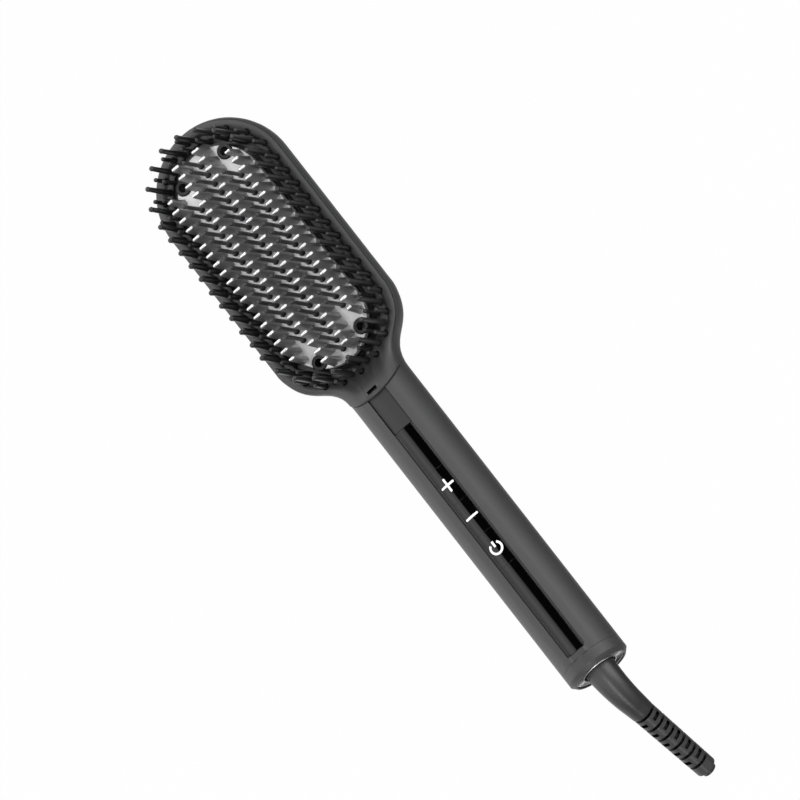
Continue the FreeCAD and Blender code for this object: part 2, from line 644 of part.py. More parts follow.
def make_inner_bristles():
    """Three nylon combs under the plate, whose bristles pass through it."""
    z0, z1 = INNER_RAIL_Z
    combs = []
    for column in (-BRISTLE_COLUMN, 0.0, BRISTLE_COLUMN):
        places = [place for place in inner_bristle_places() if place[1] == column]
        end_x = max(x for x, _ in places) + INNER_RAIL_HALF
        rail = box(-end_x, end_x, column - INNER_RAIL_HALF, column + INNER_RAIL_HALF, z0, z1)
        stalks = [bristle(x, y, z0 + 0.5, BRISTLE_TOP_Z, INNER_BRISTLE_R) for x, y in places]
        combs.append(rail.multiFuse(stalks).Solids[0])
    return group(combs)


def comb_of(x, y):
    """Number of the rim comb that a bristle stands on: one comb along each side, three round each end."""
    if abs(x) < COMB_SIDE_X:
        return 0 if y > 0 else 1
    angle = math.degrees(math.atan2(y, abs(x) - END_X))
    third = sum(angle > bound for bound in COMB_BOUNDS[1:3])
    return 2 + third + (3 if x < 0 else 0)


def comb_space(number):
    """Column of space that holds one rim comb, a hair apart from the next one."""
    far, low, high = 40.0, -1.0, 5.0
    if number < 2:
        return box(-COMB_SIDE_X, COMB_SIDE_X, *((0, far) if number == 0 else (-far, 0)), low, high)
    end = 1 if number < 5 else -1
    third = (number - 2) % 3
    first, last = COMB_BOUNDS[third] + COMB_GAP_DEG, COMB_BOUNDS[third + 1] - COMB_GAP_DEG
    angles = [math.radians(first + (last - first) * k / 4) for k in range(5)]
    points = [(END_X, 0.0)] + [(END_X + far * math.cos(a), far * math.sin(a)) for a in angles]
    if end < 0:
        points = [(-x, y) for x, y in reversed(points)]
    side_x = COMB_SIDE_X + 0.1
    return prism(points, low, high).cut(box(-side_x, side_x, -far, far, low - 1, high + 1))


def make_rim_bristles():
    """Nylon combs with the long and short bristles of the rim, end to end round the plate."""
    ring = stadium(28.4, FRAME_Z[0], FRAME_Z[1]).cut(stadium(TRAY_R + 0.1, 0, 5))
    stalks = {number: [] for number in range(8)}
    rows = ((ROW_LONG, False, LONG_BRISTLE_R), (ROW_OUTER, True, SHORT_BRISTLE_R),
            (ROW_INNER, True, SHORT_BRISTLE_R))
    for (radius, tip), staggered, radii in rows:
        for x, y in bristle_stations(radius, staggered):
            stalks[comb_of(x, y)].append(bristle(x, y, FRAME_Z[0] + 0.4, tip, radii))
    combs = []
    for number, own in stalks.items():
        base = ring.common(comb_space(number))
        combs.append(base.multiFuse(own).Solids[0])
    return group(combs)


def make_plate_tray():
    """Heat-resisting tray that carries the plate and holds the four screw bosses."""
    tray = stadium(TRAY_R, FRAME_Z[0], FRAME_Z[1]).fuse(stadium(TRAY_FLANGE[0], TRAY_FLANGE[1], FRAME_Z[0]))
    wall = stadium(PLATE_R - 0.3, FRAME_Z[0], PLATE_Z[0]).cut(stadium(PLATE_R - 1.7, 0, 8))
    bosses = [post(BOSS_R, x, y, FRAME_Z[0], PLATE_Z[1] + 0.6) for x, y in mirrored_corners(BOSS_X, BOSS_Y)]
    tray = tray.multiFuse([wall] + bosses)
    wells = [post(1.9, x, y, 2.6, 12) for x, y in mirrored_corners(BOSS_X, BOSS_Y)]
    wells += [post(1.25, x, y, -2, 3) for x, y in mirrored_corners(BOSS_X, BOSS_Y)]
    return tray.cut(group(wells + lead_slots(-2, 3)))


def lead_slots(z0, z1):
    """Slots that let the heater and sensor leads down through tray and mica sheet."""
    slots = [box(43.6, 48.4, y - 1.2, y + 1.2, z0, z1) for y in (-FIN_COLUMN, FIN_COLUMN)]
    return slots + [box(43.3, 45.2, -15.4, -13.4, z0, z1)]


def make_head_screws():
    """Four screws, sunk deep in the bosses, that pull plate tray and rear shell together."""
    screws = []
    for x, y in mirrored_corners(BOSS_X, BOSS_Y):
        head = post(1.75, x, y, 2.6, 3.8)
        shank = post(1.1, x, y, -8.4, 2.6)
        slot = box(x - 1.2, x + 1.2, y - 0.2, y + 0.2, 3.3, 4.0)
        cross = box(x - 0.2, x + 0.2, y - 1.2, y + 1.2, 3.3, 4.0)
        screws.append(head.fuse(shank).cut(slot.fuse(cross)))
    return group(screws)


# ---- heating and sensing parts ------------------------------------------------------------------------
HEATER_X = 35.0
SENSOR_Y = 14.4


def make_heater(side):
    """Flat ceramic heater pressed to the underside of the plate."""
    y = side * FIN_COLUMN
    return box(-HEATER_X, HEATER_X, y - 3.5, y + 3.5, 4.9, PLATE_Z[0])


def make_heater_clamp():
    """Spring-steel plate with two raised pads that press the heaters to the plate."""
    sheet = box(-34, 34, -14, 14, 3.1, 3.8)
    pads = [box(-33, 33, s * FIN_COLUMN - 3.2, s * FIN_COLUMN + 3.2, 3.8, 4.9) for s in (-1, 1)]
    grooves = [box(-34, 34, s * BRISTLE_COLUMN - 1.7, s * BRISTLE_COLUMN + 1.7, 3.5, 4.0) for s in (-1, 0, 1)]
    return sheet.multiFuse(pads).cut(group(grooves)).removeSplitter()


def make_insulation_sheet():
    """Mica sheet between the clamp and the floor of the tray."""
    sheet = stadium(17.4, FRAME_Z[1], 3.1)
    cuts = [post(BOSS_R + 0.3, x, y, 2, 4) for x, y in mirrored_corners(BOSS_X, BOSS_Y)]
    return sheet.cut(group(cuts + lead_slots(2, 4)))


def make_thermal_fuse():
    """Barrel-shaped thermal fuse against the plate, between the heater ends and the screws."""
    return rod(1.4, 35.2, 43.4, SENSOR_Y, PLATE_Z[0] - 1.4)


def make_thermistor():
    """Glass bead against the plate that reads its temperature."""
    return rod(1.0, 35.2, 41.4, -SENSOR_Y, PLATE_Z[0] - 1.0)


def wire_run(points, radius, bend):
    """Round wire along points, with an arc of the bend radius at each inner point."""
    edges = []
    start = points[0]
    for before, corner, after in zip(points, points[1:], points[2:]):
        into = (corner - before).normalize()
        out = (after - corner).normalize()
        turn = math.acos(max(-1.0, min(1.0, into.dot(out))))
        cut = bend * math.tan(turn / 2)
        p, q = corner - into * cut, corner + out * cut
        inside = (out - into).normalize()
        centre = corner + inside * (bend / math.cos(turn / 2))
        edges.append(Part.LineSegment(start, p).toShape())
        edges.append(Part.Arc(p, centre - inside * bend, q).toShape())
        start = q
    edges.append(Part.LineSegment(start, points[-1]).toShape())
    path = Part.Wire(edges)
    direction = points[1] - points[0]
    profile = Part.Wire(Part.makeCircle(radius, points[0], direction))
    return path.makePipeShell([profile], True, True)


def make_heater_leads():
    """Two glass-sleeved leads from the heaters, down through the tray and along to the power board."""
    leads = []
    for side in (-1, 1):
        y = side * FIN_COLUMN
        points = [V(HEATER_X, y, 5.5), V(46.0, y, 5.5), V(46.0, y, -4.8), V(90.0, y, -4.8)]
        leads.append(wire_run(points, 0.7, 3.6))
    return group(leads)


def make_sensor_lead():
    """Sensor lead from the thermistor, down through the tray and up to the control board."""
    y = -SENSOR_Y
    points = [V(41.4, y, 5.2), V(44.3, y, 5.2), V(44.3, y, -2.8), V(49.5, -17.2, -2.8),
              V(57.0, -12.0, -2.8), V(76.0, -7.5, 4.4), V(84.0, -7.5, 4.4)]
    return wire_run(points, 0.5, 1.6)


# ---- electronics in the handle ----------------------------------------------------------------------
def make_chassis():
    """Ladder frame in the handle that carries both boards."""
    rails = [box(82, 192, s * 9.6 - 1.0, s * 9.6 + 1.0, RAIL_Z, BOARD_Z[0]) for s in (-1, 1)]
    rungs = [box(x - 1.2, x + 1.2, -9.6, 9.6, -1.0, BOARD_Z[0]) for x in (83.2, 118.0, 152.0, 190.8)]
    feet = [box(x - 1, x + 1, -9, 9, RAIL_Z, -1.0) for x in FOOT_X]
    return rails[0].multiFuse([rails[1]] + rungs + feet).removeSplitter()


def make_control_board():
    """Board under the strip, with switches and display."""
    return box(84, 190, -10.4, 10.4, BOARD_Z[0], BOARD_Z[1])


def make_display_module():
    """Digit display behind the head end of the gloss strip."""
    base = box(98, 116, -3.6, 3.6, BOARD_Z[1], FLOOR_UNDER_Z)
    lens = box(99.2, 114.8, -2.4, 2.4, FLOOR_UNDER_Z, FLOOR_Z)
    return base.fuse(lens)


def make_key_lights():
    """Light-emitting diodes beside the switches, under the edges of the keys."""
    return group([box(x + s * 5.6 - 0.8, x + s * 5.6 + 0.8, -0.8, 0.8, BOARD_Z[1], 5.9)
                  for x in KEYS.values() for s in (-1, 1)])


def make_microcontroller():
    """Controller chip on the control board."""
    return box(172, 180, -4, 4, BOARD_Z[1], 6.6)


def make_power_board():
    """Board on the underside of the frame that switches the heaters."""
    return box(90, 188, -8.4, 8.4, RAIL_Z - 1.6, RAIL_Z)


def make_triac():
    """Power switch with its tab."""
    body = box(104, 114, -5.1, 5.1, -8.6, -5.6)
    tab = box(98.5, 104, -5.1, 5.1, -6.8, -5.6)
    return body.fuse(tab).removeSplitter()


def make_capacitor():
    """Film capacitor of the mains filter."""
    return box(150, 164, -5.5, 5.5, -10.4, -5.6)


def make_choke():
    """Round choke of the mains filter."""
    coil = rod(2.9, 120, 131, 0, -8.5)
    return coil.cut(rod(0.9, 119, 132, 0, -8.5))


def make_ion_generator():
    """Potted ion generator in the neck."""
    return box(56.5, 69.5, -4.6, 4.6, -11.4, -5.8)


def make_ion_emitter():
    """Needle holder that points the ion needle at the outlet slot."""
    arm = box(65.2, 67.4, -2.0, 2.0, -5.8, 4.4)
    holder = box(65.2, 70.2, -2.0, 2.0, 2.4, 6.8)
    needle = Part.makeCone(0.5, 0.12, 3.2, V(68.8, 0, 6.0), V(0.7, 0, 0.7))
    return holder.multiFuse([needle, arm]).removeSplitter()


# ---- cord swivel --------------------------------------------------------------------------------------
def make_swivel_core():
    """Hollow drum that turns in the end cap's wall, with a flange that keeps it there."""
    drum = rod(CORE_R, 197.0, 223.6)
    flange = rod(8.6, 216.2, 219.1)
    spigot = rod(SPIGOT_R, 223.6, SPIGOT_X)
    core = drum.multiFuse([flange, spigot])
    core = core.cut(rod(3.0, 196, 230))
    seats = [rod(CORE_R + 1, x0, x0 + SLIP_WIDTH).cut(rod(CORE_R - 0.8, x0 - 1, x0 + 5)) for x0 in SLIP_X]
    return core.cut(group(seats)).removeSplitter()


def make_slip_rings():
    """Two brass rings let into the drum."""
    rings = []
    for x0 in SLIP_X:
        rings.append(rod(CORE_R + 0.4, x0, x0 + SLIP_WIDTH).cut(rod(CORE_R - 0.8, x0 - 1, x0 + 5)))
    return group(rings)


def make_contact_block():
    """Insulating block that holds the contact springs under the slip rings."""
    block = box(197.5, 212.0, -4.5, 4.5, -12.6, -9.6).common(rod(BORE_R, 190, 215))
    return block.cut(rod(11.05, 211.9, 213))


def make_contact_springs():
    """Two leaf contacts that reach the slip rings."""
    leaves = []
    for x0 in SLIP_X:
        foot = box(x0 + 0.4, x0 + 2.8, -4.0, 4.0, -9.6, -9.2)
        blade = box(x0 + 0.4, x0 + 2.8, -1.5, 1.5, -9.2, -(CORE_R + 0.4) - 0.08)
        leaves.append(foot.fuse(blade).removeSplitter())
    return group(leaves)


def make_mains_leads():
    """Two leads from the power board to the contact block."""
    leads = []
    for side in (-1, 1):
        y = side * 3.0
        points = [V(188.0, y, -4.8), V(192.0, y, -4.8), V(193.5, y, -11.1), V(197.5, y, -11.1)]
        leads.append(wire_run(points, 0.65, 1.8))
    return group(leads)


def stem_frame(distance):
    """Centre and direction of the elbow at a distance along its centre line."""
    past_lead = distance - ELBOW_LEAD
    if past_lead <= 0:
        return V(SWIVEL_X + past_lead, 0, 0), V(1, 0, 0)
    angle = min(past_lead / BEND_R, BEND)
    centre = V(SWIVEL_X + BEND_R * math.sin(angle), 0, -BEND_R * (1 - math.cos(angle)))
    direction = V(math.cos(angle), 0, -math.sin(angle))
    beyond = past_lead - angle * BEND_R
    return centre + direction * beyond, direction


def elbow_wire(distance, scale):
    """Round section of the elbow at a distance along it, tapering from root to tip."""
    centre, direction = stem_frame(distance)
    part = distance / ELBOW_LENGTH
    radius = (STEM_R[0] + (STEM_R[1] - STEM_R[0]) * part) * scale
    return Part.Wire(Part.makeCircle(radius, centre, direction))


def make_swivel_elbow():
    """Smooth tapering elbow that leads the cord out at an angle and turns with the drum."""
    count = 9
    outer = Part.makeLoft([elbow_wire(ELBOW_LENGTH * i / count, 1.0) for i in range(count + 1)], True, False)
    body = outer.fuse(rod(8.0, 223.6, 224.5)).cut(rod(SPIGOT_R, 220, SPIGOT_X))
    centre, direction = stem_frame(ELBOW_LENGTH)
    socket = Part.makeCylinder(RELIEF_CORE_R, 5.0, centre - direction * 5.0, direction)
    return body.cut(socket)


def relief_point(distance):
    """Point on the strain relief's axis."""
    centre, direction = stem_frame(ELBOW_LENGTH)
    return centre + direction * distance


def make_strain_relief():
    """Ribbed sleeve: rings between grooves, each ring pierced by short slots, and a collar at the cord."""
    direction = stem_frame(ELBOW_LENGTH)[1]
    length = RIB_COUNT * RIB_PITCH + RIB_GROOVE + RELIEF_END

    def cylinder(radius, start, span):
        return Part.makeCylinder(radius, span, relief_point(start), direction)

    body = Part.makeCone(RELIEF_R[0], RELIEF_R[1], length, relief_point(0), direction)
    end_edges = [e for e in body.Edges if (e.CenterOfMass - relief_point(length)).Length < 0.5]
    body = body.makeFillet(0.8, end_edges[:1])
    cuts = []
    for i in range(RIB_COUNT + 1):
        start = i * RIB_PITCH
        groove = cylinder(RELIEF_R[0] + 1, start, RIB_GROOVE)
        cuts.append(groove.cut(cylinder(RELIEF_CORE_R, start - 1, RIB_GROOVE + 2)))
    half_wide, half_long = RELIEF_SLOT[0] / 2, RELIEF_SLOT[1] / 2
    for i in range(RIB_COUNT):
        middle = i * RIB_PITCH + RIB_GROOVE + (RIB_PITCH - RIB_GROOVE) / 2
        for quarter in range(4):
            slot = box(-half_wide, half_wide, -half_long, half_long, RELIEF_CORE_R, RELIEF_R[0] + 1)
            slot.rotate(V(0, 0, 0), V(1, 0, 0), 45 + 90 * quarter)
            slot.rotate(V(0, 0, 0), V(0, 1, 0), math.degrees(BEND))
            slot.translate(relief_point(middle))
            cuts.append(slot)
    body = body.cut(group(cuts))
    spigot = cylinder(RELIEF_CORE_R - 0.05, -4.9, 5.2)
    nub = cylinder(NUB_R, length - 0.2, NUB_LENGTH + 0.2)
    body = body.multiFuse([spigot, nub])
    body = body.cut(cylinder(CORD_R, length + NUB_LENGTH - CORD_BORE, CORD_BORE + 1))
    return body.removeSplitter()


def main():
    """Build every piece and write it to its own file."""
    os.makedirs(OUT, exist_ok=True)
    save(make_front_shell(), "front_shell")
    save(make_rear_shell(), "rear_shell")
    save(make_end_cap(), "end_cap")
    save(make_end_ring(), "end_ring")
    save(make_neck_vent(), "neck_vent")
    save(make_neck_insert(), "neck_insert")
    save(make_control_strip(), "control_strip")
    for name in KEYS:
        save(make_key(name), name + "_key")
        save(make_mark(name), name + "_mark")
        save(make_plunger(name), name + "_plunger")
    save(make_switch_bodies(), "switch_bodies")
    save(make_heating_plate(), "heating_plate")
    save(make_inner_bristles(), "inner_bristles")
    save(make_rim_bristles(), "rim_bristles")
    save(make_plate_tray(), "plate_tray")
    save(make_head_screws(), "head_screws")
    save(make_heater(-1), "left_heater")
    save(make_heater(1), "right_heater")
    save(make_heater_clamp(), "heater_clamp")
    save(make_insulation_sheet(), "insulation_sheet")
    save(make_thermal_fuse(), "thermal_fuse")
    save(make_thermistor(), "thermistor")
    save(make_heater_leads(), "heater_leads")
    save(make_sensor_lead(), "sensor_lead")
    save(make_chassis(), "chassis")
    save(make_control_board(), "control_board")
    save(make_display_module(), "display_module")
    save(make_key_lights(), "key_lights")
    save(make_microcontroller(), "microcontroller")
    save(make_power_board(), "power_board")
    save(make_triac(), "triac")
    save(make_capacitor(), "capacitor")
    save(make_choke(), "choke")
    save(make_ion_generator(), "ion_generator")
    save(make_ion_emitter(), "ion_emitter")
    save(make_swivel_core(), "swivel_core")
    save(make_slip_rings(), "slip_rings")
    save(make_contact_block(), "contact_block")
    save(make_contact_springs(), "contact_springs")
    save(make_mains_leads(), "mains_leads")
    save(make_swivel_elbow(), "swivel_elbow")
    save(make_strain_relief(), "strain_relief")


main()
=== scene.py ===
"""Finish, fine detail and studio of a heated straightening brush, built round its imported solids.

The pieces are drawn in millimetres about the handle's axis: +X runs from the head to the cord, +Y is
the brush's right and +Z the side that the bristles stand on. Drawing.row() brings a drawn point to
the row frame, in metres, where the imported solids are.
"""
from __future__ import annotations

import json
import logging
import math
from dataclasses import dataclass, field
from enum import Enum
from typing import Iterable, Sequence

import bmesh
import bpy
from mathutils import Matrix, Vector

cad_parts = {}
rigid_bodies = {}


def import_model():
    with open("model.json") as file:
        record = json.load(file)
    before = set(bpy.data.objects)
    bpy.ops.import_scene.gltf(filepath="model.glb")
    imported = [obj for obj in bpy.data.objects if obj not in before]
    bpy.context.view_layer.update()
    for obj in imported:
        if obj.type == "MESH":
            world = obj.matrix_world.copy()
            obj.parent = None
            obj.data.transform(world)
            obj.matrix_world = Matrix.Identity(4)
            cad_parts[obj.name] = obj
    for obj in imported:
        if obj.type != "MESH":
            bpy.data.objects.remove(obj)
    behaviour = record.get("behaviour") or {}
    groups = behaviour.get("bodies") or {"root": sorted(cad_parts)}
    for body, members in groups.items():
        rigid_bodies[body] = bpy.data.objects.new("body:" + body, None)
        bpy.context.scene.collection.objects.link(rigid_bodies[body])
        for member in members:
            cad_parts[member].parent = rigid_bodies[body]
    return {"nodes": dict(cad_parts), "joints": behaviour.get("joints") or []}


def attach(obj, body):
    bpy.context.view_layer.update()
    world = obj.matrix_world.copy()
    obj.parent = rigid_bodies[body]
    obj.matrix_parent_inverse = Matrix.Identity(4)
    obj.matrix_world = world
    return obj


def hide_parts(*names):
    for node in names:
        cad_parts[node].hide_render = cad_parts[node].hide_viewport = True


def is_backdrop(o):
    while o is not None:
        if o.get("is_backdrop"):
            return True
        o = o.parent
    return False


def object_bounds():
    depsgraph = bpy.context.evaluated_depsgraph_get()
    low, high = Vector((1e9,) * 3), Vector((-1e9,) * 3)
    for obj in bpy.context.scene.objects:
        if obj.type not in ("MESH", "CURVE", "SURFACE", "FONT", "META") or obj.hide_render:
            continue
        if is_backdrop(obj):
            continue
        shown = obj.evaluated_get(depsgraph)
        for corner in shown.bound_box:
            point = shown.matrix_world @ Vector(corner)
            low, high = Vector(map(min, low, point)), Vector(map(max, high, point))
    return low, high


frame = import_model()

LOG = logging.getLogger("brush")
MM = 0.001
WELD = 0.001                # vertices closer than this many millimetres are one
SHARP_ANGLE = math.radians(38.0)
CLOUD_SIZE = 9.0            # millimetres, of the slight mottling of every finish
ROUGHNESS_SPREAD = 0.08     # share by which the grain varies the roughness
LEAN_DEG = 0.3              # the most that a bristle leans
BEVEL_SAMPLES = 4           # of the edges that are rounded in shading
# samples of the ambient occlusion that paints shade into recesses
PAINTED_SHADE_SAMPLES = 8
PAINTED_SHADE_RANGE = (0.7, 0.99)  # openness at which the painted shade in a recess is black, and at which the colour is left its own
WEAR_HIGHLIGHT_SIZE = 1.3             # millimetres, of the unevenness of the rubbed coat and of its painted highlight
WEAR_HIGHLIGHT_SPREAD = (-0.5, 0.15)  # what that unevenness adds to the rubbing and painted highlight
FLOOR_WHITE = 0.98          # share of plain white in the floor, to the camera
ROOM_BRIGHTNESS = (         # degrees from straight up towards +Y, and brightness in reflections
    (-180.0, 0.7), (-150.0, 0.9), (-66.0, 0.9), (-54.0, 1.7), (-14.0, 1.7), (2.0, 1.7), (24.0, 1.15),
    (45.0, 1.15), (64.0, 1.75), (90.0, 0.6), (115.0, 0.05), (150.0, 0.08), (180.0, 0.7))
ROOM_ALONG = (              # x of a direction, and the factor that its brightness takes
    (-1.0, 1.5), (-0.5, 1.2), (0.0, 1.0), (0.5, 0.85), (0.85, 0.3), (1.0, 0.2))
QUARTER = math.pi / 2
BLACK = (0.0, 0.0, 0.0)
WHITE = (1.0, 1.0, 1.0)
Point = tuple[float, float, float]
Colour = tuple[float, float, float]
Pair = tuple[float, float]
Socket = bpy.types.NodeSocket


# ---- drawing helpers ------------------------------------------------------------------------------
class Drawing:
    """Millimetre coordinates about the handle's axis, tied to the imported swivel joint."""

    axis_height = next(j for j in frame["joints"] if j["name"] == "cord_swivel")["pos_m"][2]

    @classmethod
    def row(cls, point: Sequence[float]) -> Vector:
        """Bring a drawn point to the row frame.

        Args:
            point: x, y and z in millimetres about the handle's axis.

        Returns:
            The same point in metres in the row frame.
        """
        return Vector((point[0] * MM, point[1] * MM, point[2] * MM + cls.axis_height))


def shown(name: str, data: bpy.types.ID) -> bpy.types.Object:
    """New object in the scene, at the origin, that shows the data."""
    made = bpy.data.objects.new(name, data)
    bpy.context.scene.collection.objects.link(made)
    return made


def kept_mesh(name: str, carrier: bpy.types.Object) -> bpy.types.Mesh:
    """Plain mesh of a carrier's evaluated shape; the carrier is removed."""
    bpy.context.view_layer.update()
    graph = bpy.context.evaluated_depsgraph_get()
    mesh = bpy.data.meshes.new_from_object(carrier.evaluated_get(graph), depsgraph=graph)
    mesh.name = name
    bpy.data.objects.remove(carrier)
    return mesh


def smoothed(bm: bmesh.types.BMesh, mesh: bpy.types.Mesh) -> bpy.types.Mesh:
    """Put a bmesh into a mesh, smooth but for its sharp edges; the bmesh is freed."""
    for face in bm.faces:
        face.smooth = True
    bm.to_mesh(mesh)
    bm.free()
    mesh.set_sharp_from_angle(angle=SHARP_ANGLE)
    return mesh


def bridge(bm: bmesh.types.BMesh, lower: Sequence[bmesh.types.BMVert],
           upper: Sequence[bmesh.types.BMVert]) -> None:
    """Join two loops of as many vertices with a band of faces."""
    for i in range(len(lower)):
        j = (i + 1) % len(lower)
        bm.faces.new((lower[i], lower[j], upper[j], upper[i]))


def lathe(profile: Sequence[Pair], sides: int) -> bmesh.types.BMesh:
    """Turn a profile about the Z axis.

    Args:
        profile: (radius, z) pairs from bottom to top; the first and the last have a radius of 0.
        sides: number of facets round.

    Returns:
        The closed surface.
    """
    bm = bmesh.new()
    turn = 2.0 * math.pi / sides
    foot = bm.verts.new((0.0, 0.0, profile[0][1]))
    rings = [[bm.verts.new((radius * math.cos(i * turn), radius * math.sin(i * turn), z))
              for i in range(sides)] for radius, z in profile[1:-1]]
    tip = bm.verts.new((0.0, 0.0, profile[-1][1]))
    first, last = rings[0], rings[-1]
    for i in range(sides):
        bm.faces.new((foot, first[(i + 1) % sides], first[i]))
    for lower, upper in zip(rings, rings[1:]):
        bridge(bm, lower, upper)
    for i in range(sides):
        bm.faces.new((last[i], last[(i + 1) % sides], tip))
    return bm


class NodeNet:
    """Nodes and links of one node tree, with short calls."""

    tree: bpy.types.NodeTree

    def node(self, kind: str, **settings: object) -> bpy.types.Node:
        """Add a node and set its properties."""
        made = self.tree.nodes.new(kind)
        for key, value in settings.items():
            setattr(made, key, value)
        return made

    def link(self, source: Socket, target: Socket) -> None:
        """Join two sockets."""
        self.tree.links.new(source, target)


class GeometryTree(NodeNet):
    """A Geometry Nodes tree with named inputs that ends in Realize Instances and Set Material."""

    def __init__(self, name: str) -> None:
        """Start a tree with a geometry input and a geometry output."""
        self.tree = bpy.data.node_groups.new(name, "GeometryNodeTree")
        self.tree.is_modifier = True
        self.identifiers: dict[str, str] = {}
        self.tree.interface.new_socket("Geometry", in_out="INPUT", socket_type="NodeSocketGeometry")
        self.tree.interface.new_socket("Geometry", in_out="OUTPUT", socket_type="NodeSocketGeometry")
        self.entry = self.tree.nodes.new("NodeGroupInput")
        self.exit = self.tree.nodes.new("NodeGroupOutput")

    def add_input(self, name: str, kind: str, default: float | int | None = None) -> Socket:
        """Add a named input.

        Args:
            name: name shown on the modifier.
            kind: socket type, such as "Float", "Int", "Object" or "Material".
            default: value used until the modifier sets one.

        Returns:
            The socket inside the tree that carries the value.
        """
        socket = self.tree.interface.new_socket(name, in_out="INPUT", socket_type=f"NodeSocket{kind}")
        if default is not None:
            socket.default_value = default
        self.identifiers[name] = socket.identifier
        return self.entry.outputs[name]

    def finish(self, geometry: Socket, material: Socket) -> None:
        """End the tree with realized instances in one finish.

        Args:
            geometry: the geometry that the tree made.
            material: the socket that carries the finish.
        """
        realize = self.node("GeometryNodeRealizeInstances")
        finish = self.node("GeometryNodeSetMaterial")
        self.link(geometry, realize.inputs["Geometry"])
        self.link(realize.outputs["Geometry"], finish.inputs["Geometry"])
        self.link(material, finish.inputs["Material"])
        self.link(finish.outputs["Geometry"], self.exit.inputs["Geometry"])

    def apply(self, name: str, carrier: bpy.types.Object, values: dict[str, object]) -> bpy.types.Object:
        """Run the tree on a carrier and keep the result as a plain mesh.

        Args:
            name: name of the finished piece.
            carrier: object whose mesh feeds the tree; it is removed afterwards.
            values: modifier input values by name.

        Returns:
            The finished piece, with no modifier.
        """
        modifier = carrier.modifiers.new(self.tree.name, "NODES")
        modifier.node_group = self.tree
        for key, value in values.items():
            modifier[self.identifiers[key]] = value
        return shown(name, kept_mesh(name, carrier))


def points_object(name: str, places: Iterable[Point]) -> bpy.types.Object:
    """Loose vertices at drawn places, to carry instances.

    Args:
        name: name of the object.
        places: places in millimetres about the handle's axis.

    Returns:
        An object with one vertex at each place, in the row frame.
    """
    mesh = bpy.data.meshes.new(name)
    mesh.from_pydata([Drawing.row(p) for p in places], [], [])
    return shown(name, mesh)


class ShapeSet:
    """Numbered shapes in metres about their own origins, to be stood on points and then removed."""

    def __init__(self, name: str) -> None:
        """Start an empty set."""
        self.collection = bpy.data.collections.new(name)

    def add(self, bm: bmesh.types.BMesh) -> int:
        """Add a shape.

        Args:
            bm: mesh in millimetres about the shape's own origin; it is freed.

        Returns:
            The shape's number.
        """
        number = len(self.collection.objects)
        for vertex in bm.verts:
            vertex.co *= MM
        bmesh.ops.recalc_face_normals(bm, faces=bm.faces)
        mesh = smoothed(bm, bpy.data.meshes.new(f"{self.collection.name}_{number:02d}"))
        self.collection.objects.link(bpy.data.objects.new(mesh.name, mesh))
        return number

    def remove(self) -> None:
        """Remove the shapes once they have been stood on their points."""
        for source in list(self.collection.objects):
            bpy.data.objects.remove(source)
        bpy.data.collections.remove(self.collection)


def standing_tree() -> GeometryTree:
    """Tree that stands numbered shapes on a carrier's points, each turned and leant a little at random.

    Returns:
        A tree with the inputs Shapes, Lean, Seed and Finish.
    """
    tree = GeometryTree("standing")
    shapes = tree.add_input("Shapes", "Collection")
    lean = tree.add_input("Lean", "Float", 0.0)
    seed = tree.add_input("Seed", "Int", 1)
    finish = tree.add_input("Finish", "Material")
    info = tree.node("GeometryNodeCollectionInfo", transform_space="ORIGINAL")
    info.inputs["Separate Children"].default_value = True
    info.inputs["Reset Children"].default_value = True
    kind = tree.node("GeometryNodeInputNamedAttribute", data_type="INT")
    kind.inputs["Name"].default_value = "kind"
    back = tree.node("ShaderNodeMath", operation="MULTIPLY")
    back.inputs[1].default_value = -1.0
    low = tree.node("ShaderNodeCombineXYZ")
    high = tree.node("ShaderNodeCombineXYZ")
    random = tree.node("FunctionNodeRandomValue", data_type="FLOAT_VECTOR")
    rotation = tree.node("FunctionNodeEulerToRotation")
    stand = tree.node("GeometryNodeInstanceOnPoints")
    stand.inputs["Pick Instance"].default_value = True
    tree.link(shapes, info.inputs["Collection"])
    tree.link(lean, back.inputs[0])
    for axis in ("X", "Y"):
        tree.link(back.outputs[0], low.inputs[axis])
        tree.link(lean, high.inputs[axis])
    tree.link(low.outputs[0], random.inputs[0])
    tree.link(high.outputs[0], random.inputs[1])
    tree.link(seed, random.inputs["Seed"])
    tree.link(random.outputs[0], rotation.inputs[0])
    tree.link(tree.entry.outputs["Geometry"], stand.inputs["Points"])
    tree.link(info.outputs[0], stand.inputs["Instance"])
    tree.link(kind.outputs[0], stand.inputs["Instance Index"])
    tree.link(rotation.outputs[0], stand.inputs["Rotation"])
    tree.finish(stand.outputs["Instances"], finish)
    return tree


